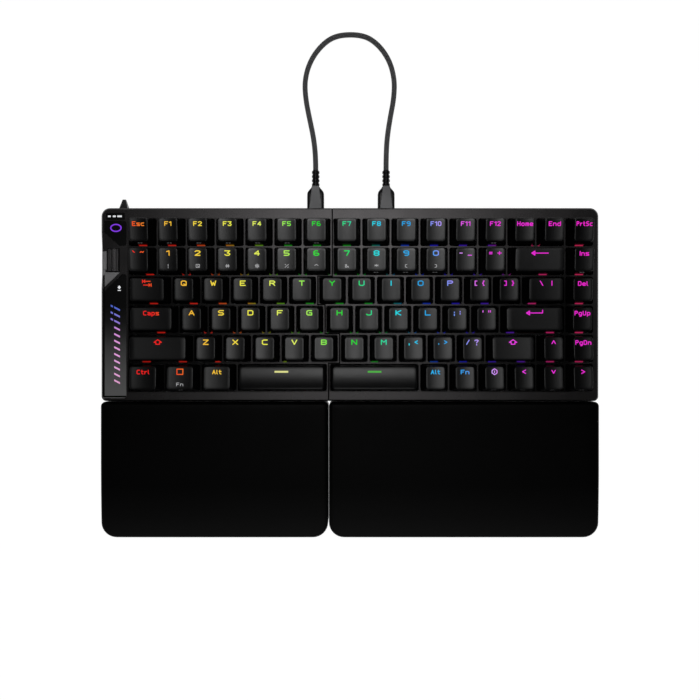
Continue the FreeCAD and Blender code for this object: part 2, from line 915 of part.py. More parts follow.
def keycap_wires(units, row, space):
    """Foot and top wires of a keycap about the origin."""
    foot_width = units * key_pitch - keycap_inset
    foot_depth = key_pitch - keycap_inset
    top_width = units * key_pitch - (space_top_inset if space else top_inset)
    foot = rounded_rectangle(foot_width, foot_depth, keycap_foot_radius)
    foot.translate(Vector(0, 0, skirt_bottom))
    top = rounded_rectangle(top_width, keytop_depth, keytop_radius)
    top.rotate(Vector(0, 0, 0), Vector(1, 0, 0), 0 if space else top_leans[row])
    top.translate(Vector(0, 0, deck_top + rim_heights[row]))
    return foot, top, foot_width, foot_depth, top_width


def dish(row, top_width):
    """Round bar that hollows a keytop from side to side."""
    radius = (top_width ** 2 / 4 + dish_depth ** 2) / (2 * dish_depth)
    lift = deck_top + rim_heights[row] - dish_depth + radius
    bar = cylinder(radius, 3 * key_pitch, Vector(0, -1.5 * key_pitch, lift), Vector(0, 1, 0))
    bar.rotate(Vector(0, 0, deck_top + rim_heights[row]), Vector(1, 0, 0), top_leans[row])
    return bar


def crown(units, row):
    """Round bar that leaves a space bar's top curved from rear to front."""
    lift = deck_top + rim_heights[row] - space_crown_radius
    reach = units * key_pitch
    return cylinder(space_crown_radius, 2 * reach, Vector(-reach, 0, lift), Vector(1, 0, 0))


def keycap(units, row):
    space = units > 3
    foot, top, foot_width, foot_depth, top_width = keycap_wires(units, row, space)
    outer = Part.makeLoft([foot, top], True, True)
    rim = deck_top + rim_heights[row]
    if space:
        outer = outer.common(crown(units, row))
        drop = keytop_depth ** 2 / (8 * space_crown_radius)
    else:
        outer = outer.cut(dish(row, top_width))
        drop = dish_depth + math.sin(math.radians(abs(top_leans[row]))) * keytop_depth / 2
    ceiling = rim - drop - keycap_top_wall
    share = (ceiling - skirt_bottom) / (rim - skirt_bottom)
    inner_foot = rounded_rectangle(foot_width - 2 * keycap_wall, foot_depth - 2 * keycap_wall,
                                   keycap_foot_radius / 2)
    inner_foot.translate(Vector(0, 0, skirt_bottom))
    width = foot_width + (top_width - foot_width) * share - 2 * keycap_wall
    depth = foot_depth + (keytop_depth - foot_depth) * share - 2 * keycap_wall
    inner_top = rounded_rectangle(width, depth, keycap_foot_radius / 2)
    inner_top.translate(Vector(0, 0, ceiling))
    shape = outer.cut(Part.makeLoft([inner_foot, inner_top], True, True))
    up = Vector(0, 0, 1)
    post = cylinder(post_radius, ceiling - post_bottom + keycap_top_wall / 2,
                    Vector(0, 0, post_bottom), up)
    shape = shape.fuse(post)
    for length, depth in ((cross_length, cross_width), (cross_width, cross_length)):
        shape = shape.cut(centred_box(0, 0, post_bottom - 1, ceiling, length, depth))
    if units >= stabiliser_min_units:
        reach = stabiliser_reach(units)
        for end in (-1, 1):
            shape = shape.fuse(centred_box(end * reach, 0, post_bottom, ceiling + 0.5,
                                           stabiliser_slider_width, stabiliser_slider_depth))
    return shape.removeSplitter(), ceiling


def key_stems(units, ceiling):
    """Switch slider with its cross, and the stabiliser sliders of a wide key."""
    slider = centred_box(0, 0, slider_bottom, housing_top, slider_width, slider_depth)
    for length, depth in ((cross_length, cross_width), (cross_width, cross_length)):
        slider = slider.fuse(centred_box(0, 0, housing_top, ceiling, length, depth))
    solids = [slider.removeSplitter()]
    if units >= stabiliser_min_units:
        reach = stabiliser_reach(units)
        bottom = plate_top + key_travel + running_gap
        for end in (-1, 1):
            solids.append(centred_box(end * reach, 0, bottom, post_bottom,
                                      stabiliser_slider_width, stabiliser_slider_depth))
    return solids


def key_nodes():
    patterns = {}
    nodes = {}
    for side in ("left", "right"):
        for node, row, units, x, y in keys_of(side):
            if (units, row) not in patterns:
                cap, ceiling = keycap(units, row)
                patterns[(units, row)] = [cap] + key_stems(units, ceiling)
            for pattern in patterns[(units, row)]:
                copy = pattern.copy()
                copy.translate(Vector(x, y, 0))
                nodes.setdefault(node, []).append(copy)
    return {node: Part.makeCompound(solids) for node, solids in nodes.items()}


def light_pieces(grow):
    """Slanted slashes and dots of the light bar, or their holes when grown."""
    solids = []
    bottom = deck_top - inlay_thickness
    slope = slash_fall / slash_width
    high = slash_height / 2 + grow
    marks = [(slash_x, slash_width, i) for i in range(slash_count)]
    marks += [(light_dot_x, light_dot_width, i) for i in range(light_dot_count)]
    for x, width, i in marks:
        half = width / 2 + grow
        y = slash_first + i * slash_pitch + slope * (x - slash_x)
        left_y = y - slope * half
        right_y = y + slope * half
        points = [(x - half, left_y + high), (x + half, right_y + high),
                  (x + half, right_y - high), (x - half, left_y - high)]
        solids.append(prism(strip_points(points), bottom, deck_top))
    return Part.makeCompound(solids)


def control_panel():
    bottom = deck_top - inlay_thickness
    lower = inlay(lower_inlay_points(), bottom).cut(light_pieces(light_gap))
    return Part.makeCompound([inlay(window_points(), bottom),
                              inlay(upper_inlay_points(), bottom), lower])


def control_wheel():
    """Roller with shallow ribs along its axle."""
    start = Vector(wheel_x, wheel_y - wheel_length / 2, wheel_z)
    wheel = cylinder(wheel_radius, wheel_length, start, Vector(0, 1, 0))
    grooves = []
    for i in range(wheel_rib_count):
        angle = 2 * math.pi * i / wheel_rib_count
        reach = wheel_radius + wheel_rib_depth
        at = start + Vector(math.cos(angle) * reach, -1, math.sin(angle) * reach)
        grooves.append(cylinder(2 * wheel_rib_depth, wheel_length + 2, at, Vector(0, 1, 0)))
    wheel = wheel.cut(Part.makeCompound(grooves))
    reach = wheel_length / 2 + wheel_gap + axle_length
    start = Vector(wheel_x, wheel_y - reach, wheel_z)
    return wheel.fuse(cylinder(axle_radius, 2 * reach, start, Vector(0, 1, 0)))


def mode_switch():
    """Faceted knob outside the rear wall, its stem and its flange inside."""
    outer = case_rear + mode_ridge_depth + running_gap
    base = Part.makePolygon([
        Vector(mode_x + sx * mode_base_width / 2, outer, mode_height + sz * mode_base_height / 2)
        for sx, sz in ((-1, -1), (1, -1), (1, 1), (-1, 1), (-1, -1))])
    tip = Part.makePolygon([
        Vector(mode_x + sx * mode_tip_width / 2, case_rear + mode_reach,
               mode_height + sz * mode_tip_height / 2)
        for sx, sz in ((-1, -1), (1, -1), (1, 1), (-1, 1), (-1, -1))])
    knob = Part.makeLoft([base, tip], True, True)
    inner = case_rear - wall - running_gap
    half = mode_stem_height / 2
    stem = box(mode_x - mode_stem_width / 2, mode_x + mode_stem_width / 2, inner, outer,
               mode_height - half, mode_height + half)
    half = mode_flange_height / 2
    flange = box(mode_x - mode_flange_width / 2, mode_x + mode_flange_width / 2,
                 inner - mode_flange_depth, inner, mode_height - half, mode_height + half)
    return knob.fuse(stem).fuse(flange).removeSplitter()


def rest_span(side):
    """Left and right edges of one wrist rest."""
    split = grid_left + sum(left_rows[-1]) * key_pitch + split_gap / 2
    if side == "left":
        return case_left - rest_overhang, split - rest_split_gap / 2
    return split + rest_split_gap / 2, case_right + rest_overhang


def rest_block(side, z0, z1, shrink=0.0):
    x0, x1 = rest_span(side)
    y1 = case_front - rest_gap
    y0 = y1 - rest_depth
    x0 += shrink
    x1 -= shrink
    y0 += shrink
    y1 -= shrink
    corners = [(x0, y1, rest_rear_radius), (x1, y1, rest_rear_radius),
               (x0, y0, rest_front_radius), (x1, y0, rest_front_radius)]
    block = prism([(x0, y0), (x1, y0), (x1, y1), (x0, y1)], z0, z1)
    return round_corners(block, [(x, y, max(radius - shrink, 0.5)) for x, y, radius in corners])


def palm_rest_base(side):
    """Tray with a wall and cross ribs under the pad."""
    shape = rest_block(side, foot_stand, rest_seam)
    shape = shape.cut(rest_block(side, foot_stand + rest_floor, rest_seam, rest_wall))
    x0, x1 = rest_span(side)
    y1 = case_front - rest_gap
    for i in range(rest_rib_count):
        x = x0 + (x1 - x0) * (i + 1) / (rest_rib_count + 1)
        rib = box(x - rest_rib / 2, x + rest_rib / 2, y1 - rest_depth + rest_wall,
                  y1 - rest_wall, foot_stand + rest_floor, rest_seam)
        shape = shape.fuse(rib)
    for x, y in rest_pad_centres(side):
        shape = shape.cut(centred_box(x, y, foot_stand, foot_stand + pad_recess,
                                      pad_length, pad_width))
    return shape.removeSplitter()


def palm_rest_pad(side):
    block = rest_block(side, rest_seam, rest_height)
    picked = []
    for edge in block.Edges:
        if edge.BoundBox.ZLength < 0.001 and abs(edge.CenterOfMass.z - rest_height) < 0.001:
            picked.append(edge)
    return block.makeFillet(rest_edge_radius, picked)


def rest_pad_centres(side):
    x0, x1 = rest_span(side)
    y1 = case_front - rest_gap
    y0 = y1 - rest_depth
    aside = rest_front_radius + pad_length / 2
    front = y0 + pad_inset + pad_width / 2
    rear = y1 - pad_inset - pad_width / 2
    return [(x0 + aside, front), (x1 - aside, front), (x0 + aside, rear), (x1 - aside, rear)]


def build():
    nodes = {}
    for side in ("left", "right"):
        nodes[side + "_top_case"] = top_case(side)
        nodes[side + "_bottom_case"] = bottom_case(side)
        nodes[side + "_switch_plate"] = switch_plate(side)
        nodes[side + "_switch_housings"] = switch_housings(side)
        nodes[side + "_stabilisers"] = stabilisers(side)
        nodes[side + "_circuit_board"] = circuit_board(side)
        nodes[side + "_damping_pad"] = damping_pad(side)
        nodes[side + "_case_screws"] = case_screws(side)
        nodes[side + "_rubber_feet"] = rubber_pads(pad_centres(side))
        for name, x in foot_places(side):
            nodes[name] = folding_foot(x)
        nodes[side + "_palm_rest_base"] = palm_rest_base(side)
        nodes[side + "_palm_rest_pad"] = palm_rest_pad(side)
        nodes[side + "_palm_rest_feet"] = rubber_pads(rest_pad_centres(side))
    nodes["left_battery"] = battery()
    nodes["left_usb_sockets"] = Part.makeCompound([usb_socket(x) for x in port_places("left")])
    nodes["right_usb_socket"] = usb_socket(link_right_x)
    nodes["control_panel"] = control_panel()
    nodes["light_bar"] = light_pieces(0)
    nodes["accent_plate"] = inlay(accent_points(), deck_top - inlay_thickness)
    nodes["control_wheel"] = control_wheel()
    nodes["mode_switch"] = mode_switch()
    nodes["link_cable"] = link_cable()
    nodes["left_cable_plug"] = cable_plug(link_left_x)
    nodes["right_cable_plug"] = cable_plug(link_right_x)
    nodes.update(key_nodes())
    return nodes


os.makedirs("parts", exist_ok=True)
for node, shape in build().items():
    shape.exportStep("parts/%s.step" % node)
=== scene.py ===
import math

import bpy
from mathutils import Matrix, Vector


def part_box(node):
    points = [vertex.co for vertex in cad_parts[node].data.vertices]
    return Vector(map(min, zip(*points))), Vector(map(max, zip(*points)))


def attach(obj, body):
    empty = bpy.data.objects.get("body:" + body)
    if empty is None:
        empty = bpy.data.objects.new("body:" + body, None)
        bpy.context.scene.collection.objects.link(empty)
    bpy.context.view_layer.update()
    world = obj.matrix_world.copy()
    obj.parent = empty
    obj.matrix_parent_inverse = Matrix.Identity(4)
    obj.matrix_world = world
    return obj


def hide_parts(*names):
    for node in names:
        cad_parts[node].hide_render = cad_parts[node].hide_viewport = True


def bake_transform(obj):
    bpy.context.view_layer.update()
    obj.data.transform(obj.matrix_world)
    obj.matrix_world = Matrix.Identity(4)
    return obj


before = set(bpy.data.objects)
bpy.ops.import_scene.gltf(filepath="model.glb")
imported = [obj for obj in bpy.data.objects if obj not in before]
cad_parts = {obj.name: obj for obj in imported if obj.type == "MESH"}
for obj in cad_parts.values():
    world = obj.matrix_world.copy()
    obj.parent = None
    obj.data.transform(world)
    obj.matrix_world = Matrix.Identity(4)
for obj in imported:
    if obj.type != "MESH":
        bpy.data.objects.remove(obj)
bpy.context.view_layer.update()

# Split keyboard seen from straight above. Lengths are in millimetres unless a name ends in _m.
MM = 0.001

# Sizes shared with the part's source
KEY_PITCH = 19.05
WEB_WIDTH = 0.9
SPLIT_GAP = 0.5
DECK_TOP = 22.0
GRID_LEFT = -145.35
GRID_REAR = 98.4
CASE_REAR = 104.9
CASE_FRONT = -21.9
PORT_Z = 10.58
PORT_XS = {"left": -23.0, "right": 24.3}
CABLE_RADIUS = 1.75
RIM_HEIGHTS = [10.3, 10.3, 7.7, 6.6, 8.5, 8.5]
TOP_LEANS = [7.0, 5.0, 2.0, 0.0, -3.0, -4.0]
KEYTOP_DEPTH = 15.0
FOOT_INSET = 1.85
TOP_INSET = 6.55
SPACE_TOP_INSET = 5.2
SPACE_CROWN = 40.0
SKIRT_BOTTOM = 19.6
SKIRT_FOOT = 19.75
RIM_EDGE = 0.55
DISH_DEPTH = 0.4
CAP_WALL = 1.2
LEFT_ROWS = [
    [1, 1, 1, 1, 1, 1, 1],
    [1, 1, 1, 1, 1, 1, 1],
    [1.5, 1, 1, 1, 1, 1],
    [1.75, 1, 1, 1, 1, 1],
    [2.25, 1, 1, 1, 1, 1],
    [1.25, 1.25, 1.25, 3.125],
]
RIGHT_ROWS = [
    [1, 1, 1, 1, 1, 1, 1, 1, 1],
    [1, 1, 1, 1, 1, 1, 2, 1],
    [1, 1, 1, 1, 1, 1, 1, 1.5, 1],
    [1, 1, 1, 1, 1, 1, 2.25, 1],
    [1, 1, 1, 1, 1, 1.75, 1, 1],
    [3.125, 1, 1, 1, 1, 1, 1],
]
WIDE_KEYS = {
    ("left", 2, 0): "tab_key",
    ("left", 3, 0): "caps_lock_key",
    ("left", 4, 0): "left_shift_key",
    ("left", 5, 3): "left_space_key",
    ("right", 1, 6): "backspace_key",
    ("right", 2, 7): "backslash_key",
    ("right", 3, 6): "enter_key",
    ("right", 4, 5): "right_shift_key",
    ("right", 5, 0): "right_space_key",
}

# Generic characters of a keyboard, one per key
LEFT_LEGENDS = [
    ["Esc", "F1", "F2", "F3", "F4", "F5", "F6"],
    ["` ~", "1", "2", "3", "4", "5", "6"],
    ["<tab>", "Q", "W", "E", "R", "T"],
    ["Caps", "A", "S", "D", "F", "G"],
    ["<shift>", "Z", "X", "C", "V", "B"],
    ["Ctrl", "<home>", "Alt", "<bar>"],
]
RIGHT_LEGENDS = [
    ["F7", "F8", "F9", "F10", "F11", "F12", "Home", "End", "PrtSc"],
    ["7", "8", "9", "0", "- _", "= +", "<back>", "Ins"],
    ["Y", "U", "I", "O", "P", "[ {", "] }", "\\ |", "Del"],
    ["H", "J", "K", "L", "; :", "' \"", "<enter>", "PgUp"],
    ["N", "M", ", <", ". >", "/ ?", "<shift>", "<up>", "PgDn"],
    ["<bar>", "Alt", "Fn", "<dot>", "<left>", "<down>", "<right>"],
]
SECOND_LEGENDS = {"1": "!", "2": "@", "3": "#", "4": "$", "5": "%", "6": "^",
                  "7": "&", "8": "*", "9": "(", "0": ")", "<home>": "Fn"}
# Keys with a small mark on the front of the cap
FRONT_MARKED = {"Esc", "F1", "F2", "F3", "F4", "F5", "F6", "F12", "8", "9", "0", "Ins",
                "<home>", "<dot>", "<left>", "<down>", "<right>"}

# Strokes of each character on a grid, column digit then row digit; the baseline is row 2
STROKES = {
    "A": "02 28 42|14 34", "B": "02 08 38 47 46 35 05|35 44 43 32 02", "C": "48 18 07 03 12 42",
    "D": "02 08 38 47 43 32 02", "E": "48 08 02 42|05 35", "F": "48 08 02|05 35",
    "G": "48 18 07 03 12 42 45 25", "H": "02 08|42 48|05 45", "I": "02 08",
    "J": "48 43 32 12 03", "K": "02 08|48 05 42", "L": "08 02 42", "M": "02 08 25 48 42",
    "N": "02 08 42 48", "O": "12 03 07 18 38 47 43 32 12", "P": "02 08 38 47 46 35 05",
    "Q": "12 03 07 18 38 47 43 32 12|24 42", "R": "02 08 38 47 46 35 05|25 42",
    "S": "48 18 07 06 15 35 44 43 32 02", "T": "08 48|28 22", "U": "08 03 12 32 43 48",
    "V": "08 22 48", "W": "08 12 26 32 48", "X": "02 48|08 42", "Y": "08 25 48|25 22",
    "Z": "08 48 02 42",
    "0": "12 03 07 18 38 47 43 32 12", "1": "07 28 22", "2": "07 18 38 47 46 02 42",
    "3": "08 48 25 35 44 43 32 12 03", "4": "32 38 04 44", "5": "48 08 05 35 44 43 32 02",
    "6": "38 18 07 03 12 32 43 44 35 05", "7": "08 48 22",
    "8": "15 06 07 18 38 47 46 35 15 04 03 12 32 43 44 35", "9": "12 32 43 47 38 18 07 06 15 45",
    "a": "06 36 45 42 12 03 14 44", "c": "46 16 05 03 12 42", "d": "48 42 12 03 05 16 46",
    "e": "04 44 45 36 16 05 03 12 42", "g": "42 12 03 05 16 46 41 30 10",
    "l": "08 03 12", "m": "02 06 46 42|26 22", "n": "02 06 36 45 42",
    "o": "12 03 05 16 36 45 43 32 12", "p": "00 06 36 45 43 32 02", "r": "02 06|04 26 36",
    "s": "46 06 05 14 34 43 42 02", "t": "18 13 22 32|06 36",
    "`": "08 26", "~": "06 17 36 47", "-": "05 35", "_": "02 42", "=": "04 34|06 36",
    "+": "05 45|27 23", "[": "28 08 02 22", "]": "08 28 22 02", "{": "28 18 16 05 14 12 22",
    "}": "08 18 16 25 14 12 02", "\\": "08 32", "|": "08 02", ";": "06 05|03 01",
    ":": "07 06|04 03", "'": "08 06", "\"": "08 06|28 26", ",": "03 01", ".": "03 02",
    "<": "37 05 33", ">": "07 35 03", "/": "02 38", "?": "07 18 38 47 36 24|22 21",
    "!": "08 04|02 01", "@": "42 02 08 48 44 24 26", "#": "12 18|32 38|04 44|06 46",
    "$": "47 07 05 45 43 03|29 21", "%": "02 48|08 17|43 32", "^": "06 28 46",
    "&": "42 07 18 27 03 12 44", "*": "28 24|07 45|47 05", "(": "28 07 03 22",
    ")": "08 27 23 02",
}
# Drawn symbols in millimetres about the legend's centre
SYMBOLS = {
    "<tab>": ["-2.8,2.1 -2.8,0.3", "2.2,1.2 -2.2,1.2", "-1.2,2.0 -2.2,1.2 -1.2,0.4",
              "2.8,-2.1 2.8,-0.3", "-2.2,-1.2 2.2,-1.2", "1.2,-0.4 2.2,-1.2 1.2,-2.0"],
    "<shift>": ["-2.4,-0.1 0,1.6 2.4,-0.1 1.2,-0.1 1.2,-1.3 -1.2,-1.3 -1.2,-0.1 -2.4,-0.1"],
    "<back>": ["5.4,0 -4.6,0", "-3.2,1.3 -5.2,0 -3.2,-1.3 -3.2,1.3"],
    "<enter>": ["5.2,1.7 5.2,-0.1 -4.4,-0.1", "-3.2,1.2 -5.2,-0.1 -3.2,-1.4 -3.2,1.2"],
    "<up>": ["-1.1,-0.9 0,1.0 1.1,-0.9"],
    "<down>": ["-1.1,0.9 0,-1.0 1.1,0.9"],
    "<left>": ["1.0,1.1 -1.0,0 1.0,-1.1"],
    "<right>": ["-1.0,1.1 1.0,0 -1.0,-1.1"],
    "<home>": ["-1.9,-1.7 -1.9,1.7 1.9,1.7 1.9,-1.7 -1.9,-1.7"],
    "<dot>": ["-1.6,0.8 0,1.9 1.6,0.8 1.6,-0.8 0,-1.9 -1.6,-0.8 -1.6,0.8", "0,0.5 0,-0.5"],
}
BAR_HALF = 4.4
BAR_STROKE = 1.2


# Node helpers for the materials

def new_material(name):
    material = bpy.data.materials.new(name)
    material.use_nodes = True
    tree = material.node_tree
    tree.nodes.clear()
    output = tree.nodes.new("ShaderNodeOutputMaterial")
    return material, tree, output


def add(tree, kind, **values):
    node = tree.nodes.new(kind)
    for key, value in values.items():
        if hasattr(node, key):
            setattr(node, key, value)
        else:
            node.inputs[key.replace("_", " ")].default_value = value
    return node


def split_place(tree, kind="Object"):
    """X, Y and Z of the place on the piece."""
    where = add(tree, "ShaderNodeTexCoord")
    split = add(tree, "ShaderNodeSeparateXYZ")
    tree.links.new(where.outputs[kind], split.inputs["Vector"])
    return split.outputs


def object_noise(tree, scale, detail=3.0):
    where = add(tree, "ShaderNodeTexCoord")
    noise = add(tree, "ShaderNodeTexNoise", Scale=scale, Detail=detail)
    tree.links.new(where.outputs["Object"], noise.inputs["Vector"])
    return noise


def math_of(tree, operation, *sources):
    """Result of an operation on sockets and plain numbers."""
    node = add(tree, "ShaderNodeMath", operation=operation)
    for socket, source in zip(node.inputs, sources):
        if isinstance(source, float):
            socket.default_value = source
        else:
            tree.links.new(source, socket)
    return node.outputs[0]


def scaled(tree, colour, level):
    node = add(tree, "ShaderNodeVectorMath", operation="SCALE")
    tree.links.new(colour, node.inputs[0])
    tree.links.new(level, node.inputs["Scale"])
    return node.outputs["Vector"]


def mixed(tree, share, first, second):
    mix = add(tree, "ShaderNodeMixShader")
    for socket, source in zip(mix.inputs, (share, first.outputs[0], second.outputs[0])):
        tree.links.new(source, socket)
    return mix.outputs[0]


def ranged(tree, source, low, high, start=0.3, end=0.7):
    """The source's value moved from start..end to low..high."""
    node = add(tree, "ShaderNodeMapRange", From_Min=start, From_Max=end, To_Min=low, To_Max=high)
    tree.links.new(source, node.inputs["Value"])
    return node.outputs["Result"]


def colour_between(tree, source, first, second):
    node = add(tree, "ShaderNodeMix", data_type="RGBA")
    sockets = [s for s in node.inputs if s.type == "RGBA"]
    sockets[0].default_value = (*first, 1)
    sockets[1].default_value = (*second, 1)
    tree.links.new(source, node.inputs["Factor"])
    return [s for s in node.outputs if s.type == "RGBA"][0]


def ramp_along(tree, source, stops):
    """Colour by a source in metres, from stops in millimetres with a colour or a grey each."""
    low, high = stops[0][0] * MM, stops[-1][0] * MM
    colours = [(*(v if isinstance(v, tuple) else (v, v, v)), 1) for at, v in stops]
    ramp = add(tree, "ShaderNodeValToRGB")
    elements = ramp.color_ramp.elements
    elements[0].color, elements[1].color = colours[0], colours[-1]
    for (at, value), colour in zip(stops[1:-1], colours[1:-1]):
        elements.new((at * MM - low) / (high - low)).color = colour
    tree.links.new(ranged(tree, source, 0.0, 1.0, low, high), ramp.inputs["Fac"])
    return ramp.outputs["Color"]


def shader_of(material):
    return next(n for n in material.node_tree.nodes if n.type == "BSDF_PRINCIPLED")


def surface(name, colour, other, roughness, rough_spread=0.06, metallic=0.0, specular=0.5,
            grain=3000.0, grain_height=0.00002, blotch=60.0):
    """Moulded, cast or painted surface: blotches of colour, a fine grain and uneven gloss."""
    material, tree, output = new_material(name)
    shader = add(tree, "ShaderNodeBsdfPrincipled", Metallic=metallic,
                 Specular_IOR_Level=specular)
    large = object_noise(tree, blotch, 4.0)
    tree.links.new(colour_between(tree, large.outputs["Fac"], colour, other),
                   shader.inputs["Base Color"])
    fine = object_noise(tree, grain, 2.0)
    rough = ranged(tree, large.outputs["Fac"], roughness - rough_spread, roughness + rough_spread)
    tree.links.new(rough, shader.inputs["Roughness"])
    bump = add(tree, "ShaderNodeBump", Strength=0.35, Distance=grain_height)
    tree.links.new(fine.outputs["Fac"], bump.inputs["Height"])
    tree.links.new(bump.outputs["Normal"], shader.inputs["Normal"])
    tree.links.new(shader.outputs["BSDF"], output.inputs["Surface"])
    return material


def lit_plastic(name, strength):
    """Dark plastic without gloss that shines by itself."""
    material, tree, output = new_material(name)
    shader = add(tree, "ShaderNodeBsdfPrincipled", Base_Color=(0.01, 0.01, 0.01, 1),
                 Roughness=0.6, Specular_IOR_Level=0.0, Emission_Strength=strength)
    tree.links.new(shader.outputs["BSDF"], output.inputs["Surface"])
    return material, tree, shader


def glow_ramp(name, direction, stops, strength=1.0, fade=None):
    """Lit plastic whose colour runs along a direction, by stops in millimetres, and may fade
    to black between two heights."""
    material, tree, shader = lit_plastic(name, strength)
    where = add(tree, "ShaderNodeTexCoord")
    along = add(tree, "ShaderNodeVectorMath", operation="DOT_PRODUCT")
    along.inputs[1].default_value = direction
    tree.links.new(where.outputs["Object"], along.inputs[0])
    colour = ramp_along(tree, along.outputs["Value"], stops)
    if fade:
        level = ranged(tree, split_place(tree)["Z"], 1.0, 0.0, fade[0] * MM, fade[1] * MM)
        colour = scaled(tree, colour, level)
    tree.links.new(colour, shader.inputs["Emission Color"])
    return material


def plain_glow(name, colour):
    """Lit mark of one colour, a little uneven as printed marks are."""
    material, tree, shader = lit_plastic(name, 1.0)
    noise = object_noise(tree, 900.0)
    faded = tuple(0.8 * c for c in colour)
    tree.links.new(colour_between(tree, noise.outputs["Fac"], faded, colour),
                   shader.inputs["Emission Color"])
    return material


# The light runs slantwise: each stop is at X + SLANT * Y
SLANT = 0.3
LEGEND_STOPS = [
    (-150.0, (0.83, 0.006, 0.006)), (-117.0, (0.83, 0.012, 0.010)),
    (-110.0, (0.86, 0.10, 0.012)), (-97.0, (0.87, 0.42, 0.03)), (-75.0, (0.92, 0.66, 0.05)),
    (-50.0, (0.84, 0.85, 0.07)), (-30.0, (0.74, 0.88, 0.12)), (-15.0, (0.34, 0.85, 0.09)),
    (-5.0, (0.04, 0.72, 0.04)), (10.0, (0.012, 0.62, 0.03)), (18.5, (0.010, 0.70, 0.03)),
    (24.0, (0.025, 0.68, 0.25)), (31.0, (0.02, 0.62, 0.42)), (40.0, (0.012, 0.70, 0.74)),
    (46.0, (0.012, 0.58, 0.80)), (52.0, (0.02, 0.42, 0.83)), (64.0, (0.015, 0.33, 0.72)),
    (74.0, (0.04, 0.34, 0.86)),
    (82.0, (0.30, 0.28, 0.92)), (91.0, (0.60, 0.33, 0.92)), (99.0, (0.74, 0.10, 0.80)),
    (115.0, (0.80, 0.025, 0.70)), (180.0, (0.86, 0.015, 0.58)),
]
LEAK_STOPS = [
    (-135.0, (0.60, 0.010, 0.005)), (-85.0, (0.65, 0.02, 0.01)), (-73.0, (0.60, 0.06, 0.01)),
    (-57.0, (0.50, 0.15, 0.012)), (-49.0, (0.24, 0.22, 0.012)), (-37.0, (0.13, 0.28, 0.012)),
    (-19.0, (0.015, 0.27, 0.013)),
    (23.0, (0.008, 0.27, 0.013)), (39.0, (0.005, 0.16, 0.08)), (57.0, (0.005, 0.04, 0.40)),
    (77.0, (0.01, 0.01, 0.42)), (99.0, (0.045, 0.01, 0.38)), (115.0, (0.09, 0.012, 0.35)),
    (123.0, (0.25, 0.012, 0.22)), (133.0, (0.55, 0.02, 0.15)), (180.0, (0.70, 0.025, 0.10)),
]
LIGHT_BAR_STOPS = [
    (-12.0, (0.84, 0.40, 0.66)), (0.0, (0.84, 0.41, 0.78)), (18.0, (0.83, 0.35, 0.78)),
    (25.5, (0.66, 0.28, 0.76)), (29.5, (0.30, 0.20, 0.74)), (35.0, (0.20, 0.20, 0.73)),
    (39.0, (0.09, 0.15, 0.68)), (45.0, (0.06, 0.12, 0.60)),
]

legend_light = glow_ramp("legend_light", (1.0, SLANT, 0.0), LEGEND_STOPS)
leak_light = glow_ramp("leak_light", (1.0, SLANT, 0.0), LEAK_STOPS, 0.6, fade=(21.4, 24.4))
mark_white = plain_glow("mark_white", (0.85, 0.87, 0.90))
mark_grey = plain_glow("mark_grey", (0.45, 0.45, 0.46))
mark_faint = plain_glow("mark_faint", (0.20, 0.20, 0.205))
mark_purple = plain_glow("mark_purple", (0.25, 0.05, 0.85))
bar_lights = {"left": plain_glow("left_bar_light", (0.80, 0.80, 0.30)),
              "right": plain_glow("right_bar_light", (0.08, 0.46, 0.06))}

KEYCAP_GREYS = (0.0011, 0.0011, 0.0012), (0.0018, 0.0018, 0.0020), 0.22
KEYCAP_GRAIN = {"rough_spread": 0.03, "grain": 3600.0, "grain_height": 0.00001}
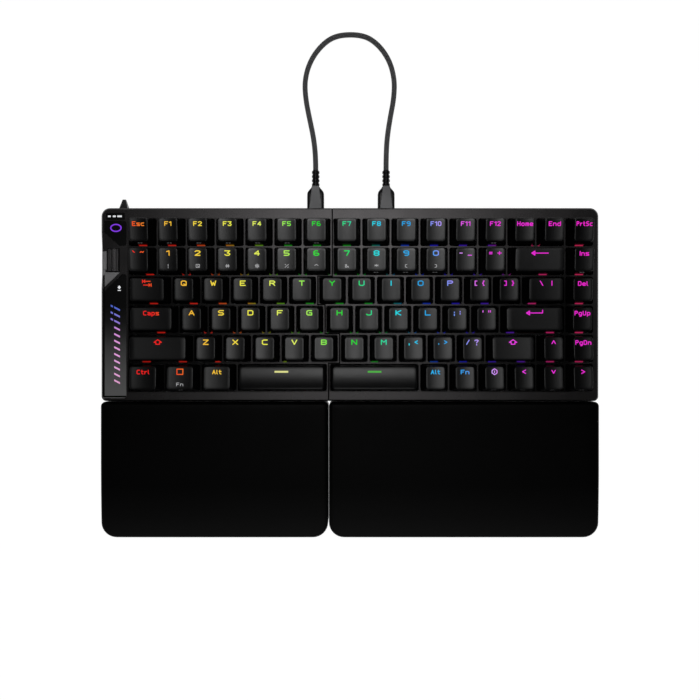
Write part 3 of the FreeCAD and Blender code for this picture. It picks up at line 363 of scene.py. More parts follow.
# Two colours, roughness and more of each finish
FINISHES = {
    "deck_metal": ((0.0128, 0.0121, 0.0123), (0.0165, 0.0156, 0.0159), 0.27,
                   {"rough_spread": 0.03, "metallic": 0.95, "grain": 5200.0,
                    "grain_height": 0.00001}),
    "case_plastic": ((0.010, 0.010, 0.011), (0.014, 0.014, 0.015), 0.5, {"grain": 2600.0}),
    "keycap_plastic": (*KEYCAP_GREYS, {**KEYCAP_GRAIN, "specular": 0.105}),
    # the same keycap plastic with more gloss for the rear rows: a painted highlight that lights
    # them more
    "keycap_rear": (*KEYCAP_GREYS, {**KEYCAP_GRAIN, "specular": 0.17}),
    # near-black, for the painted shade along the seam between the halves and for the panel's
    # printed border
    "seal": ((0.0004, 0.0004, 0.0004), (0.0008, 0.0008, 0.0008), 0.6,
             {"specular": 0.02, "grain": 1500.0}),
    "switch_plastic": ((0.05, 0.012, 0.010), (0.07, 0.016, 0.012), 0.35, {}),
    "plate_steel": ((0.012, 0.012, 0.013), (0.02, 0.02, 0.021), 0.45, {"metallic": 0.6}),
    "board": ((0.006, 0.009, 0.007), (0.010, 0.014, 0.011), 0.4, {}),
    "damping_foam": ((0.015, 0.015, 0.016), (0.03, 0.03, 0.032), 0.85,
                     {"grain": 900.0, "grain_height": 0.0003}),
    "battery_foil": ((0.30, 0.31, 0.33), (0.4, 0.41, 0.43), 0.35, {"metallic": 0.8}),
    "connector_metal": ((0.45, 0.45, 0.46), (0.6, 0.6, 0.61), 0.28, {"metallic": 1.0}),
    "screw_steel": ((0.10, 0.10, 0.105), (0.16, 0.16, 0.165), 0.3, {"metallic": 1.0}),
    "foot_rubber": ((0.010, 0.010, 0.010), (0.016, 0.016, 0.016), 0.75,
                    {"grain": 1500.0, "grain_height": 0.00006}),
    "foot_plastic": ((0.009, 0.009, 0.010), (0.013, 0.013, 0.014), 0.5, {}),
    "panel_gloss": ((0.0015, 0.0015, 0.0018), (0.0025, 0.0025, 0.003), 0.12,
                    {"rough_spread": 0.03, "specular": 0.1, "grain_height": 0.000002}),
    "accent_metal": ((0.09, 0.088, 0.09), (0.14, 0.138, 0.14), 0.42,
                     {"metallic": 0.7, "grain": 2400.0, "grain_height": 0.00006}),
    "wheel_metal": ((0.014, 0.0134, 0.0137), (0.020, 0.0192, 0.0196), 0.33,
                    {"metallic": 0.8}),
    "switch_knob": ((0.02, 0.02, 0.021), (0.035, 0.035, 0.036), 0.3, {"metallic": 0.5}),
    "rest_silicone": ((0.0004, 0.0004, 0.0004), (0.0008, 0.0008, 0.0008), 0.42,
                      {"rough_spread": 0.04, "specular": 0.02, "grain": 2200.0,
                       "grain_height": 0.00004, "blotch": 35.0}),
    "plug_moulding": ((0.002, 0.002, 0.0022), (0.004, 0.004, 0.0043), 0.26,
                      {"rough_spread": 0.04, "specular": 0.12, "grain": 2800.0,
                       "grain_height": 0.000005}),
    "plug_plate": ((0.034, 0.034, 0.036), (0.050, 0.050, 0.053), 0.45,
                   {"specular": 0.4, "grain": 2400.0, "grain_height": 0.00003}),
}
finishes = {name: surface(name + "_finish", first, second, roughness, **more)
            for name, (first, second, roughness, more) in FINISHES.items()}
finishes["light_guide"] = glow_ramp("light_guide_finish", (0.0, 1.0, 0.0), LIGHT_BAR_STOPS, 0.85)


def lay_fade(material, stops):
    """Base colour by the place along Y, by stops in millimetres."""
    tree = material.node_tree
    tree.links.new(ramp_along(tree, split_place(tree)["Y"], stops),
                   shader_of(material).inputs["Base Color"])


# The lower panel's colour is paler towards the front
lay_fade(finishes["panel_gloss"], [(-20.0, 0.105), (-5.0, 0.085), (6.0, 0.060), (14.0, 0.042),
                                   (22.0, 0.020), (30.0, 0.007), (40.0, 0.0012)])
# The rests are a little paler at the front: a painted sheen
lay_fade(finishes["rest_silicone"], [(-112.0, 0.0065), (-98.0, 0.0035), (-78.0, 0.0010),
                                     (-34.0, 0.0003)])

# Painted shade on the webs between the keys: how dark, by the place in millimetres
PAINTED_WEB_SHADE = {
    "X": [(-163.0, 0.0), (-145.6, 0.0), (-145.3, 0.98), (-95.0, 0.97), (-20.0, 0.35),
          (40.0, 0.35), (110.0, 0.85), (145.0, 0.95), (145.3, 0.0), (163.0, 0.0)],
    "Y": [(-22.0, 0.0), (-16.2, 0.0), (-15.8, 1.0), (52.0, 1.0), (75.0, 0.55), (98.2, 0.45),
          (98.5, 0.0), (105.0, 0.0)],
}


def paint_web_shade(material):
    """Painted shade on the webs between the keys, deepest at the front and the ends."""
    tree = material.node_tree
    base = shader_of(material).inputs["Base Color"]
    place = split_place(tree)
    shares = [ramp_along(tree, place[axis], stops) for axis, stops in PAINTED_WEB_SHADE.items()]
    level = math_of(tree, "SUBTRACT", 1.0, math_of(tree, "MULTIPLY", *shares))
    tree.links.new(scaled(tree, base.links[0].from_socket, level), base)


paint_web_shade(finishes["deck_metal"])

BRAID_THREADS = 8
BRAID_LAY = 1.3


def braid_material():
    """Two sets of dark threads wound over each other, from the tube's own map."""
    material, tree, output = new_material("cable_braid_finish")
    shader = add(tree, "ShaderNodeBsdfPrincipled", Roughness=0.6)
    place = split_place(tree, "UV")
    waves = []
    for turn in (1, -1):
        around = math_of(tree, "MULTIPLY", place["X"], turn * BRAID_THREADS * 2 * math.pi)
        wave = math_of(tree, "MULTIPLY_ADD", place["Y"], 2 * math.pi / BRAID_LAY, around)
        waves.append(math_of(tree, "SINE", wave))
    height = ranged(tree, math_of(tree, "MULTIPLY", *waves), 0.0, 1.0, -1.0, 1.0)
    tree.links.new(colour_between(tree, height, (0.004, 0.004, 0.005), (0.055, 0.055, 0.058)),
                   shader.inputs["Base Color"])
    bump = add(tree, "ShaderNodeBump", Strength=0.8, Distance=0.0002)
    tree.links.new(height, bump.inputs["Height"])
    tree.links.new(bump.outputs["Normal"], shader.inputs["Normal"])
    tree.links.new(shader.outputs["BSDF"], output.inputs["Surface"])
    return material


finishes["cable_braid"] = braid_material()

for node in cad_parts.values():
    for place in node.material_slots:
        place.material = finishes[place.material.name.split(".")[0]]


# Mesh helpers

def new_piece(name, points, faces, materials, picks=None, smooth=True, sharp_angle=40.0):
    """A mesh object from points in millimetres."""
    mesh = bpy.data.meshes.new(name)
    mesh.from_pydata([(x * MM, y * MM, z * MM) for x, y, z in points], [], faces)
    for material in materials:
        mesh.materials.append(material)
    if picks:
        mesh.polygons.foreach_set("material_index", picks)
    mesh.update()
    piece = bpy.data.objects.new(name, mesh)
    bpy.context.scene.collection.objects.link(piece)
    if smooth:
        mesh.polygons.foreach_set("use_smooth", [True] * len(mesh.polygons))
        mesh.set_sharp_from_angle(angle=math.radians(sharp_angle))
    return piece


class Build:
    """Points, faces and material picks gathered for one piece."""

    def __init__(self):
        self.points = []
        self.faces = []
        self.picks = []

    def add_points(self, points):
        first = len(self.points)
        self.points.extend(points)
        return list(range(first, len(self.points)))

    def add_face(self, face, pick=0):
        self.faces.append(tuple(face))
        self.picks.append(pick)

    def bridge(self, lower, upper, pick=0):
        count = len(lower)
        for i in range(count):
            j = (i + 1) % count
            self.add_face((lower[i], lower[j], upper[j], upper[i]), pick)

    def cap_ring(self, ring, middle, upwards=True, pick=0):
        centre = self.add_points([middle])[0]
        count = len(ring)
        for i in range(count):
            j = (i + 1) % count
            face = (ring[i], ring[j], centre) if upwards else (ring[j], ring[i], centre)
            self.add_face(face, pick)


def rounded_ring(width, depth, radii, along, across, corner=5):
    """Plan points of a rounded rectangle, anticlockwise from its +X +Y corner, with evenly
    split sides. The radii are one for all corners or one each."""
    radii = [min(r, width / 2 - 0.01, depth / 2 - 0.01)
             for r in (radii if isinstance(radii, tuple) else (radii,) * 4)]
    arcs = []
    for (sx, sy), start, radius in zip(((1, 1), (-1, 1), (-1, -1), (1, -1)),
                                       (0, 90, 180, 270), radii):
        cx, cy = sx * (width / 2 - radius), sy * (depth / 2 - radius)
        angles = [math.radians(start + 90 * step / corner) for step in range(corner + 1)]
        arcs.append([(cx + radius * math.cos(a), cy + radius * math.sin(a)) for a in angles])
    points = []
    for i, (arc, following) in enumerate(zip(arcs, arcs[1:] + arcs[:1])):
        points += arc
        (x0, y0), (x1, y1) = arc[-1], following[0]
        pieces = along if i % 2 == 0 else across
        points += [(x0 + (x1 - x0) * step / pieces, y0 + (y1 - y0) * step / pieces)
                   for step in range(1, pieces)]
    return points


# Keycaps

CAP_SWELL = 0.22
CAP_CEILING_DROP = 3.2
POST_RADIUS = 2.8
POST_BOTTOM = 23.8


def keytop_height(units, row, x, y):
    """Height of the keytop's surface over a point given from the key's centre."""
    rim = DECK_TOP + RIM_HEIGHTS[row]
    if units > 3:
        return rim - SPACE_CROWN + math.sqrt(SPACE_CROWN ** 2 - y ** 2)
    half = (units * KEY_PITCH - TOP_INSET) / 2
    dish = DISH_DEPTH * max(0.0, 1 - (x / half) ** 2)
    return rim + y * math.tan(math.radians(TOP_LEANS[row])) - dish


def cap_sizes(units):
    """Width and depth at the foot of a cap, and width of its top."""
    return (units * KEY_PITCH - FOOT_INSET, KEY_PITCH - FOOT_INSET,
            units * KEY_PITCH - (SPACE_TOP_INSET if units > 3 else TOP_INSET))


def skirt_size(units, share):
    """Width, depth and corner radius of a cap's side at a share of its height. It swells a
    little between foot and rim."""
    foot_width, foot_depth, top_width = cap_sizes(units)
    swell = CAP_SWELL * math.sin(math.pi * share)
    return (foot_width + (top_width - foot_width) * share + swell,
            foot_depth + (KEYTOP_DEPTH - foot_depth) * share + swell, 1.2 + 0.7 * share)


def skirt_height(units, row, x, y, share):
    half = KEYTOP_DEPTH / 2
    rim = keytop_height(units, row, x, max(-half, min(half, y))) - RIM_EDGE
    return SKIRT_FOOT + (rim - SKIRT_FOOT) * share


def front_point(units, row, x, share, proud=0.04):
    """Point just proud of the front of a cap, from the key's centre."""
    width, depth, radius = skirt_size(units, share)
    past = max(0.0, abs(x) - (width / 2 - radius))
    y = -depth / 2 + radius - math.sqrt(max(0.0, radius ** 2 - past ** 2))
    return x, y - proud, skirt_height(units, row, x, y, share)


def add_front_patch(build, units, row, cx, cy, start, end, shares, pick):
    """Patch on the front of a cap, between two places along it."""
    width, depth, radius = skirt_size(units, shares[-1])
    limit = width / 2 - 0.3 * radius
    start, end = max(start, -limit), min(end, limit)
    if end - start < 0.25:
        return
    columns = max(2, round((end - start) / 0.5))
    rows = []
    for share in shares:
        points = [front_point(units, row, start + (end - start) * i / columns, share)
                  for i in range(columns + 1)]
        rows.append(build.add_points([(cx + x, cy + y, z) for x, y, z in points]))
    for lower, upper in zip(rows, rows[1:]):
        for i in range(columns):
            build.add_face((lower[i], lower[i + 1], upper[i + 1], upper[i]), pick)


def add_keycap(build, units, row, cx, cy):
    foot_width, foot_depth, top_width = cap_sizes(units)
    along = max(8, round(units * 6))
    rings = []

    def ring(width, depth, radius, height):
        plan = rounded_ring(width, depth, radius, along, 8)
        rings.append(build.add_points([(cx + x, cy + y, height(x, y)) for x, y in plan]))

    # inside of the skirt, then its lower edge
    inner_top = DECK_TOP + RIM_HEIGHTS[row] - CAP_CEILING_DROP
    share = (inner_top - SKIRT_BOTTOM) / (DECK_TOP + RIM_HEIGHTS[row] - SKIRT_BOTTOM)
    inner_width = foot_width + (top_width - foot_width) * share - 2 * CAP_WALL
    inner_depth = foot_depth + (KEYTOP_DEPTH - foot_depth) * share - 2 * CAP_WALL
    ring(inner_width, inner_depth, 0.8, lambda x, y: inner_top)
    ring(foot_width - 2 * CAP_WALL, foot_depth - 2 * CAP_WALL, 0.8, lambda x, y: SKIRT_BOTTOM)
    ring(foot_width - 0.3, foot_depth - 0.3, 1.1, lambda x, y: SKIRT_BOTTOM)
    ring(foot_width, foot_depth, 1.2, lambda x, y: SKIRT_FOOT)
    for share in (0.2, 0.4, 0.6, 0.8, 1.0):
        ring(*skirt_size(units, share), lambda x, y: skirt_height(units, row, x, y, share))
    # the rounded rim
    for i in range(1, 5):
        angle = math.radians(90 * i / 4)
        inset = RIM_EDGE * (1 - math.cos(angle))
        drop = RIM_EDGE * (1 - math.sin(angle))
        ring(top_width - 2 * inset, KEYTOP_DEPTH - 2 * inset, 1.9 - inset * 0.6,
             lambda x, y: keytop_height(units, row, x, y) - drop)
    # the keytop
    for share in (0.82, 0.62, 0.42, 0.22):
        width = (top_width - 2 * RIM_EDGE) * share
        depth = (KEYTOP_DEPTH - 2 * RIM_EDGE) * share
        if units > 3:
            width = top_width - 2 * RIM_EDGE - (KEYTOP_DEPTH - 2 * RIM_EDGE) * (1 - share)
        ring(width, depth, 1.5 * share, lambda x, y: keytop_height(units, row, x, y))
    for lower, upper in zip(rings, rings[1:]):
        build.bridge(lower, upper)
    build.cap_ring(rings[-1], (cx, cy, keytop_height(units, row, 0, 0)))
    build.cap_ring(rings[0], (cx, cy, inner_top), upwards=False)


def add_stem(build, cx, cy, top):
    """Round post under the cap; the slider it stands on is not drawn."""
    sides = 16
    lower = build.add_points([(cx + POST_RADIUS * math.cos(2 * math.pi * i / sides),
                               cy + POST_RADIUS * math.sin(2 * math.pi * i / sides),
                               POST_BOTTOM) for i in range(sides)])
    upper = build.add_points([(x, y, top) for x, y, z in [build.points[i] for i in lower]])
    build.bridge(lower, upper)
    build.cap_ring(lower, (cx, cy, POST_BOTTOM), upwards=False)
    build.cap_ring(upper, (cx, cy, top))


# Legends

def add_stroke(build, start, end, width, lift, pick):
    """One straight stroke laid on the surface in short pieces."""
    (x0, y0), (x1, y1) = start, end
    length = math.hypot(x1 - x0, y1 - y0)
    if length < 1e-6:
        return
    nx, ny = -(y1 - y0) / length * width / 2, (x1 - x0) / length * width / 2
    steps = max(1, math.ceil(length / 0.9))
    rows = []
    for i in range(steps + 1):
        x = x0 + (x1 - x0) * i / steps
        y = y0 + (y1 - y0) * i / steps
        rows.append(build.add_points([(x + nx, y + ny, lift(x + nx, y + ny)),
                                      (x - nx, y - ny, lift(x - nx, y - ny))]))
    for (a, b), (c, d) in zip(rows, rows[1:]):
        build.add_face((a, b, d, c), pick)


def add_joint(build, at, width, lift, pick):
    x, y = at
    sides = 8
    ring = []
    for i in range(sides):
        angle = 2 * math.pi * (i + 0.5) / sides
        px = x + width / 2 * math.cos(angle)
        py = y + width / 2 * math.sin(angle)
        ring.append((px, py, lift(px, py)))
    build.add_face(build.add_points(ring), pick)


def add_lines(build, lines, width, lift, pick):
    for line in lines:
        for start, end in zip(line, line[1:]):
            add_stroke(build, start, end, width, lift, pick)
        for point in line:
            add_joint(build, point, width, lift, pick)


def glyph_lines(text, x_unit, y_unit, gap, space=0.0):
    """Lines of a text about its centre."""
    lines = []
    pen = 0.0
    for character in text:
        if character == " ":
            pen += space
            continue
        strokes = [[(int(p[0]), int(p[1])) for p in line.split()]
                   for line in STROKES[character].split("|")]
        widest = max(x for line in strokes for x, y in line)
        for line in strokes:
            lines.append([(pen + x * x_unit, (y - 5) * y_unit) for x, y in line])
        pen += widest * x_unit + gap
    width = pen - gap
    return [[(x - width / 2, y) for x, y in line] for line in lines]


def add_legend(build, legend, units, row, cx, cy):
    def lift(x, y):
        return keytop_height(units, row, x - cx, y - cy) + 0.035

    at_y = cy + 4.0
    if legend == "<bar>":
        add_stroke(build, (cx - BAR_HALF, at_y), (cx + BAR_HALF, at_y), BAR_STROKE, lift, 5)
        return
    stroke = 0.56 if legend == "<tab>" else 0.62
    if legend in SYMBOLS:
        lines = [[tuple(float(v) for v in p.split(",")) for p in line.split()]
                 for line in SYMBOLS[legend]]
    elif " " in legend:
        lines = glyph_lines(legend, 0.55, 0.46, 0.9, 5.0 if legend == "\\ |" else 2.8)
    elif len(legend) == 1:
        stroke = 0.68
        lines = glyph_lines(legend, 0.78, 0.47, 0.9)
    else:
        stroke, at_y = 0.58, cy + 3.8
        x_unit = {2: 0.50, 3: 0.44, 4: 0.42}.get(len(legend), 0.32)
        lines = glyph_lines(legend, x_unit, 0.40, 1.0)
    lines = [[(cx + x, at_y + y) for x, y in line] for line in lines]
    add_lines(build, lines, stroke, lift, 1)
    if legend in SECOND_LEGENDS:
        second = SECOND_LEGENDS[legend]
        lines = glyph_lines(second, 0.40 if len(second) > 1 else 0.55, 0.32, 0.9)
        lines = [[(cx + x, cy - 4.15 + y) for x, y in line] for line in lines]
        add_lines(build, lines, 0.36, lift, 2)
    if legend in FRONT_MARKED:
        for start, end in ((-1.6, -0.4), (0.2, 1.3)):
            add_front_patch(build, units, row, cx, cy, start, end, (0.72, 0.78), 4)


def keys_of(side):
    """Node, row, units, legend and centre of every key of one half."""
    rows, legends, start = (LEFT_ROWS, LEFT_LEGENDS, 0.0) if side == "left" else (
        RIGHT_ROWS, RIGHT_LEGENDS, SPLIT_GAP)
    found = []
    for row, keys in enumerate(rows):
        place = 0.0 if side == "left" else sum(LEFT_ROWS[row])
        for i, units in enumerate(keys):
            node = WIDE_KEYS.get((side, row, i), f"{side}_row_{row + 1}_keys")
            x = GRID_LEFT + start + (place + units / 2) * KEY_PITCH
            y = GRID_REAR - (row + 0.5) * KEY_PITCH
            found.append((node, row, units, legends[row][i], x, y))
            place += units
    return found


KEYS = {side: keys_of(side) for side in ("left", "right")}
builds = {}
leaks = {"left": Build(), "right": Build()}
LEAK_HALF = 2.6
LEAK_SHARES = (0.0, 0.1, 0.2, 0.32, 0.45)


def add_leaks(row, x, y):
    """Light of one key that gets out at its rear, onto the caps of the row behind."""
    edge = y + KEY_PITCH / 2 + WEB_WIDTH / 2
    for side, keys in KEYS.items():
        for node, behind, units, legend, cx, cy in keys:
            if behind != row - 1:
                continue
            reach = units * KEY_PITCH / 2 - WEB_WIDTH / 2 - 0.8
            start, end = max(x - LEAK_HALF, cx - reach), min(x + LEAK_HALF, cx + reach)
            if end - start < 0.25:
                continue
            add_front_patch(builds[node], units, behind, cx, cy, start - cx, end - cx,
                            LEAK_SHARES, 3)
            leak = leaks[side]
            leak.add_face(leak.add_points([
                (start, edge - 0.05, DECK_TOP + 0.01), (end, edge - 0.05, DECK_TOP + 0.01),
                (end, edge + 0.42, DECK_TOP - 0.8), (start, edge + 0.42, DECK_TOP - 0.8)]))


for node, row, units, legend, x, y in KEYS["left"] + KEYS["right"]:
    build = builds.setdefault(node, Build())
    add_keycap(build, units, row, x, y)
    add_stem(build, x, y, DECK_TOP + RIM_HEIGHTS[row] - CAP_CEILING_DROP + 0.1)
    add_legend(build, legend, units, row, x, y)
for node, row, units, legend, x, y in KEYS["left"] + KEYS["right"]:
    add_leaks(row, x, y)

for node, build in builds.items():
    # the two rear rows and backspace take the glossier copy, a painted highlight
    rear = "row_1" in node or "row_2" in node or node == "backspace_key"
    materials = [finishes["keycap_rear" if rear else "keycap_plastic"], legend_light, mark_grey,
                 leak_light, mark_faint]
    if node.endswith("_space_key"):
        materials.append(bar_lights[node.split("_")[0]])
    caps = new_piece(node.replace("_keys", "_caps").replace("_key", "_cap"), build.points,
                     build.faces, materials, build.picks)
    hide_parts(node)
    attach(caps, node)

for side, build in leaks.items():
    strip = new_piece(f"{side}_light_leaks", build.points, build.faces, [leak_light],
                      smooth=False)
    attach(strip, f"{side}_half")


# Marks on the control strip

def flat_lift(x, y):
    return DECK_TOP + 0.02


marks = Build()
for x0, x1 in ((-158.7, -156.9), (-155.5, -153.6), (-152.6, -149.6)):
    add_stroke(marks, (x0, 99.35), (x1, 99.35), 1.1, flat_lift, 0)
diamond = [(-151.3, 54.05), (-150.2, 52.75), (-151.3, 51.45), (-152.4, 52.75)]
marks.add_face(marks.add_points([(x, y, flat_lift(x, y)) for x, y in diamond]), 0)
add_stroke(marks, (-152.3, 50.75), (-150.3, 50.75), 0.6, flat_lift, 0)
ring_points = [(-153.5 + 3.4 * math.cos(math.radians(a)),
                91.75 + 2.3 * math.sin(math.radians(a))) for a in range(0, 361, 20)]
add_lines(marks, [ring_points], 0.8, flat_lift, 1)
strip_marks = new_piece("strip_marks", marks.points, marks.faces, [mark_white, mark_purple],
                        marks.picks, smooth=False)
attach(strip_marks, "left_half")


# Facet beside the wheel: a thin plate with a bevelled top edge
facet = Build()
layers = [facet.add_points([(-162.2 + by, 64.3 + by, z), (-159.5 - by, 64.3 + by, z),
                            (-159.5 - by, 76.4 - by, z), (-162.2 + by, 76.4 - by, z)])
          for by, z in ((0.0, 21.9), (0.0, 22.03), (0.12, 22.15))]
for lower, upper in zip(layers, layers[1:]):
    facet.bridge(lower, upper)
facet.add_face(layers[-1])
facet.add_face(reversed(layers[0]))
plate = new_piece("wheel_side_facet", facet.points, facet.faces, [finishes["accent_metal"]],
                  smooth=False)
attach(plate, "left_half")


SEAM_STRIP_BOTTOM = 15.4
SEAM_STRIP_TOP = 20.95


def joint_line(offset, margin):
    """The left half's stepped edge from front to rear, moved towards the right half."""
    points = []
    for row in range(len(LEFT_ROWS) - 1, -1, -1):
        x = GRID_LEFT + sum(LEFT_ROWS[row]) * KEY_PITCH
        if points and abs(x + offset - points[-1][0]) > 0.01:
            further = 1 if x + offset > points[-1][0] else -1
            y = GRID_REAR - (row + 1) * KEY_PITCH + further * (SPLIT_GAP / 2 - offset)
            points += [(points[-1][0], y), (x + offset, y)]
        elif not points:
            points.append((x + offset, CASE_FRONT + margin))
    return points + [(points[-1][0], CASE_REAR - margin)]


def seam_shade_strip():
    """Near-black strip in the gap between the halves: painted shade along the seam."""
    build = Build()
    # its body stands in the gap, and a thin lip covers the gap on the level deck as a painted
    # dark line
    for near_by, far_by, low, high, margin in (
            (-0.05, 0.44, SEAM_STRIP_BOTTOM, SEAM_STRIP_TOP, 0.1),
            (0.12, 0.86, DECK_TOP + 0.01, DECK_TOP + 0.06, 1.0)):
        near, far = joint_line(near_by, margin), joint_line(far_by, margin)
        rows = [build.add_points([(x, y, z) for x, y in line])
                for z, line in ((low, near), (high, near), (high, far), (low, far))]
        for lower, upper in zip(rows, rows[1:] + rows[:1]):
            for i in range(len(near) - 1):
                build.add_face((lower[i], lower[i + 1], upper[i + 1], upper[i]))
        build.add_face([row[0] for row in rows])
        build.add_face([row[-1] for row in reversed(rows)])
    seal = new_piece("seam_shade_strip", build.points, build.faces, [finishes["seal"]], smooth=False)
    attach(seal, "left_half")


seam_shade_strip()

# black border printed along the lower panel's left and front edges
border = Build()
add_lines(border, [[(-161.4, 60.4), (-161.4, -18.9), (-147.2, -18.9)]], 1.1, flat_lift, 0)
panel_border = new_piece("panel_border", border.points, border.faces, [finishes["seal"]],
                         smooth=False)
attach(panel_border, "left_half")


# Wrist rest pads: soft blocks with a slight crown

def rest_pad(side):
    (x0, y0, z0), (x1, y1, z1) = [[v / MM for v in corner]
                                  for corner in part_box(f"{side}_palm_rest_pad")]
    build = Build()
    middle_x, middle_y = (x0 + x1) / 2, (y0 + y1) / 2
    # corner radii in plan, and radius of the upper edge
    rear, front = 3.0, 10.0
    edge = 2.6

    def plan(inset):
        radii = tuple(max(r - inset, 0.3) for r in (rear, rear, front, front))
        points = rounded_ring(x1 - x0 - 2 * inset, y1 - y0 - 2 * inset, radii, 30, 18, 8)
        return [(middle_x + x, middle_y + y) for x, y in points]

    def crown(x, y):
        """Sinks towards the front and, a little, towards the ends."""
        ahead = (y1 - y) / (y1 - y0)
        aside = 2 * (x - middle_x) / (x1 - x0)
        return 1.8 * max(0.0, ahead - 0.45) ** 2 / 0.3 + 0.25 * aside ** 4

    rings = []

    def ring(points, height):
        rings.append(build.add_points([(x, y, height(x, y)) for x, y in points]))

    foot = z0 + 0.4
    ring(plan(0.35), lambda x, y: z0 + 0.02)
    ring(plan(0.0), lambda x, y: foot)
    for share in (0.25, 0.6, 1.0):
        ring(plan(0.0), lambda x, y: foot + (z1 - crown(x, y) - edge - foot) * share)
    # the rounded edge
    for i in range(1, 8):
        angle = math.radians(90 * i / 7)
        inset = edge * (1 - math.cos(angle))
        drop = edge * (1 - math.sin(angle))
        ring(plan(inset), lambda x, y: z1 - crown(x, y) - drop)
    # the crowned top
    last = plan(edge)
    for share in (0.92, 0.8, 0.66, 0.5, 0.34, 0.18):
        ring([(middle_x + (x - middle_x) * share, middle_y + (y - middle_y) * share)
              for x, y in last], lambda x, y: z1 - crown(x, y))
    for lower, upper in zip(rings, rings[1:]):
        build.bridge(lower, upper)
    build.cap_ring(rings[-1], (middle_x, middle_y, z1 - crown(middle_x, middle_y)))
    build.cap_ring(rings[0], (middle_x, middle_y, z0 + 0.02), upwards=False)
    pad = new_piece(f"{side}_rest_cushion", build.points, build.faces,
                    [finishes["rest_silicone"]], sharp_angle=60.0)
    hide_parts(f"{side}_palm_rest_pad")
    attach(pad, f"{side}_palm_rest")


for side in ("left", "right"):
    rest_pad(side)


# The link cable

# along Y from the case: gap, body of the plug, and body with its ribbed relief
PLUG_START = 0.4
PLUG_LENGTH = 16.0
PLUG_REACH = 27.0
CABLE_ROUTE = [
    (-23.0, 132.3, 10.58), (-23.0, 141.3, 10.58), (-24.5, 155.0, 8.0), (-27.6, 169.7, 4.3),
    (-30.3, 183.5, 2.0), (-31.0, 196.6, 1.85), (-27.1, 209.9, 1.85), (-18.7, 221.2, 1.85),
    (-8.5, 227.4, 1.85), (8.7, 227.5, 1.85), (19.0, 221.4, 1.85), (27.1, 210.1, 1.85),
    (30.6, 196.9, 1.85), (30.1, 183.8, 2.0), (27.4, 169.7, 4.3), (25.1, 155.0, 8.0),
    (24.3, 141.3, 10.58), (24.3, 132.3, 10.58),
]


def smooth_path(route):
    """Points in millimetres along the route's smooth spline."""
    curve = bpy.data.curves.new("route", "CURVE")
    curve.dimensions = "3D"
    spline = curve.splines.new("NURBS")
    spline.points.add(len(route) - 1)
    for point, at in zip(spline.points, route):
        point.co = (*(v * MM for v in at), 1.0)
    spline.order_u = 3
    spline.use_endpoint_u = True
    spline.resolution_u = 10
    holder = bpy.data.objects.new("route", curve)
    mesh = bpy.data.meshes.new_from_object(holder)
    points = [Vector(v.co) / MM for v in mesh.vertices]
    bpy.data.objects.remove(holder)
    bpy.data.curves.remove(curve)
    bpy.data.meshes.remove(mesh)
    return points


def cable_tube(path, radius, sides=20):
    build = Build()
    lengths = [0.0]
    for a, b in zip(path, path[1:]):
        lengths.append(lengths[-1] + (b - a).length)
    up = Vector((0, 0, 1))
    rings = []
    for i, point in enumerate(path):
        ahead = path[min(i + 1, len(path) - 1)] - path[max(i - 1, 0)]
        ahead.normalize()
        aside = ahead.cross(up).normalized()
        over = aside.cross(ahead)
        rings.append(build.add_points([
            tuple(point + radius * (aside * math.cos(2 * math.pi * k / sides)
                                    + over * math.sin(2 * math.pi * k / sides)))
            for k in range(sides)]))
    for lower, upper in zip(rings, rings[1:]):
        build.bridge(lower, upper)
    build.add_face(list(reversed(rings[0])))
    build.add_face(rings[-1])
    tube = new_piece("braided_cable", build.points, build.faces, [finishes["cable_braid"]])
    uv = tube.data.uv_layers.new(name="UVMap")
    count = len(path)
    for face in tube.data.polygons:
        for corner, loop in enumerate(face.loop_indices):
            index = tube.data.loops[loop].vertex_index
            place, k = divmod(index, sides)
            around = k / sides
            if face.index < (count - 1) * sides and k == 0 and corner in (1, 2):
                around = 1.0
            uv.data[loop].uv = (around, lengths[place])
    return tube, lengths[-1]


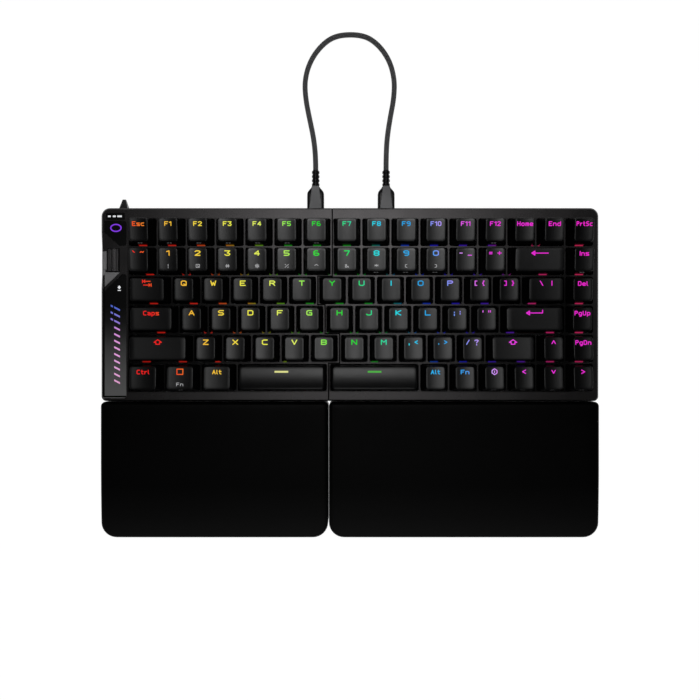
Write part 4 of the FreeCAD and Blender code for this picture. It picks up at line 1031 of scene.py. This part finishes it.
def link_plug(side):
    """Glossy moulded plug with a sloped neck, a ribbed relief and a raised plate, and its
    metal shell."""
    x = PORT_XS[side]
    build = Build()
    start = CASE_REAR + PLUG_START
    # place along Y from the start, width, height, radius
    sections = [(0.0, 10.5, 5.8, 1.4), (0.25, 11.1, 6.4, 1.6), (0.6, 11.3, 6.6, 1.6),
                (4.0, 11.3, 6.6, 1.6), (8.0, 11.3, 6.6, 1.6), (11.0, 11.2, 6.55, 1.6),
                (12.2, 10.6, 6.4, 1.7), (13.5, 8.9, 5.9, 1.9), (14.8, 6.7, 5.2, 2.0),
                (PLUG_LENGTH, 5.2, 4.7, 2.1)]
    for i in range(4):
        at = PLUG_LENGTH + 2.75 * i
        sections += [(at + 0.45, 4.2, 4.2, 2.1), (at + 0.7, 5.1, 5.1, 2.55),
                     (at + 2.0, 5.1, 5.1, 2.55), (at + 2.25, 4.2, 4.2, 2.1)]
    sections += [(PLUG_REACH - 0.2, 4.2, 4.2, 2.1), (PLUG_REACH, 3.8, 3.8, 1.9)]
    rings = []
    for along, width, height, radius in sections:
        plan = rounded_ring(width, height, radius, 4, 3, corner=4)
        rings.append(build.add_points([(x + px, start + along, PORT_Z + pz) for px, pz in plan]))
    for first, second in zip(rings, rings[1:]):
        build.bridge(second, first)
    build.cap_ring(rings[0], (x, start, PORT_Z))
    build.cap_ring(rings[-1], (x, start + PLUG_REACH, PORT_Z), upwards=False)
    # the plate runs the whole length of the body and narrows towards the cable
    top = PORT_Z + 3.3
    layers = []
    for inset, z in ((0.0, top - 1.9), (0.0, top + 0.3), (0.25, top + 0.5)):
        row = []
        taper = ((0.0, 4.25), (0.5, 3.325), (1.0, 2.4))
        for way, places in ((1, taper), (-1, reversed(taper))):
            row += [(x + way * (half - inset),
                     start + inset + (PLUG_LENGTH - 2 * inset) * share, z)
                    for share, half in places]
        layers.append(build.add_points(row))
    for lower, upper in zip(layers, layers[1:]):
        build.bridge(lower, upper, 1)
    build.add_face(layers[-1], 1)
    build.add_face(list(reversed(layers[0])), 1)
    # the shell goes into the socket
    shell = []
    for along, width, height in ((-6.4, 7.8, 2.0), (-6.2, 8.2, 2.4), (0.05, 8.2, 2.4)):
        plan = rounded_ring(width, height, height / 2, 4, 1, corner=4)
        shell.append(build.add_points([(x + px, start + along, PORT_Z + pz) for px, pz in plan]))
    for first, second in zip(shell, shell[1:]):
        build.bridge(second, first, 2)
    build.cap_ring(shell[0], (x, start - 6.4, PORT_Z), pick=2)
    plug = new_piece(f"{side}_link_plug", build.points, build.faces,
                     [finishes[f] for f in ("plug_moulding", "plug_plate", "connector_metal")],
                     build.picks, sharp_angle=35.0)
    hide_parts(f"{side}_cable_plug")
    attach(plug, f"{side}_half")
    return plug


plugs = [link_plug("left"), link_plug("right")]
cable_path = smooth_path(CABLE_ROUTE)
cable, cable_length = cable_tube(cable_path, CABLE_RADIUS)
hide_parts("link_cable")
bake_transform(cable)


# Floor, light and camera

def seen_directly(tree, glossy_share=None):
    """1 for camera, glossy and transmission rays, where glossy ones may count by a share."""
    path = add(tree, "ShaderNodeLightPath")
    glossy = path.outputs["Is Glossy Ray"]
    if glossy_share is not None:
        glossy = math_of(tree, "MULTIPLY", glossy, glossy_share)
    seen = math_of(tree, "MAXIMUM", path.outputs["Is Camera Ray"], glossy)
    return math_of(tree, "MAXIMUM", seen, path.outputs["Is Transmission Ray"])


def pale_floor():
    mesh = bpy.data.meshes.new("floor")
    reach = 6.0
    mesh.from_pydata([(-reach, -reach, 0), (reach, -reach, 0), (reach, reach, 0),
                      (-reach, reach, 0)], [], [(0, 1, 2, 3)])
    floor = bpy.data.objects.new("floor", mesh)
    bpy.context.scene.collection.objects.link(floor)
    material, tree, output = new_material("floor_finish")
    plain = add(tree, "ShaderNodeBsdfDiffuse", Color=(0.85, 0.85, 0.85, 1))
    glow = add(tree, "ShaderNodeEmission", Color=(1, 1, 1, 1), Strength=1.05)
    share = math_of(tree, "MULTIPLY", seen_directly(tree), 0.92)
    tree.links.new(mixed(tree, share, plain, glow), output.inputs["Surface"])
    mesh.materials.append(material)


def studio_world():
    """White where the camera sees it, a dim ceiling for the object."""
    world = bpy.data.worlds.new("studio")
    bpy.context.scene.world = world
    world.use_nodes = True
    tree = world.node_tree
    tree.nodes.clear()
    output = tree.nodes.new("ShaderNodeOutputWorld")
    dim = add(tree, "ShaderNodeBackground", Color=(0.92, 0.95, 1.0, 1), Strength=0.03)
    white = add(tree, "ShaderNodeBackground", Color=(1, 1, 1, 1))
    # glossy rays see the white backdrop near the horizon and the dim ceiling above
    near_horizon = ranged(tree, split_place(tree, "Generated")["Z"], 1.0, 0.0, 0.10, 0.30)
    tree.links.new(mixed(tree, seen_directly(tree, near_horizon), dim, white),
                   output.inputs["Surface"])


def lamp(name, at, target, width, height, power, shape="RECTANGLE"):
    data = bpy.data.lights.new(name, "AREA")
    data.shape = shape
    data.size = width
    data.size_y = height
    data.energy = power
    holder = bpy.data.objects.new(name, data)
    holder.location = at
    facing = Vector(target) - Vector(at)
    holder.rotation_euler = facing.to_track_quat("-Z", "Y").to_euler()
    bpy.context.scene.collection.objects.link(holder)


pale_floor()
studio_world()
# the overhead light fades from its middle outwards, as a diffuser with one bulb does
for i, (width, power) in enumerate(((0.36, 2.0), (0.62, 2.8), (0.90, 2.3), (1.25, 1.0))):
    lamp(f"overhead_{i + 1}", (0.0, 0.22, 1.15 + 0.01 * i), (0.0, 0.22, 0.0), width, width,
         power, "ELLIPSE")
for name, at, target, width, height, power in (
        ("rear_strip", (0.0, 1.2, 0.45), (0.0, 0.05, 0.0), 1.2, 0.2, 1.2),
        ("left_strip", (-1.2, -0.2, 0.4), (0.0, 0.0, 0.0), 0.25, 0.9, 0.8),
        ("right_strip", (1.2, -0.2, 0.4), (0.0, 0.0, 0.0), 0.25, 0.9, 0.8),
        ("front_softbox", (0.0, -0.75, 1.1), (0.0, -0.05, 0.0), 0.4, 0.3, 1.5)):
    lamp(name, at, target, width, height, power)

camera_data = bpy.data.cameras.new("camera")
camera_data.sensor_width = 36.0
camera_data.lens = 36.1
camera_data.clip_start = 0.01
camera = bpy.data.objects.new("camera", camera_data)
camera.location = (0.00006, 0.01165, 0.4825)
camera.rotation_euler = (0.0, 0.0, 0.0)
bpy.context.scene.collection.objects.link(camera)
bpy.context.scene.camera = camera

bpy.context.scene.view_settings.view_transform = "Standard"
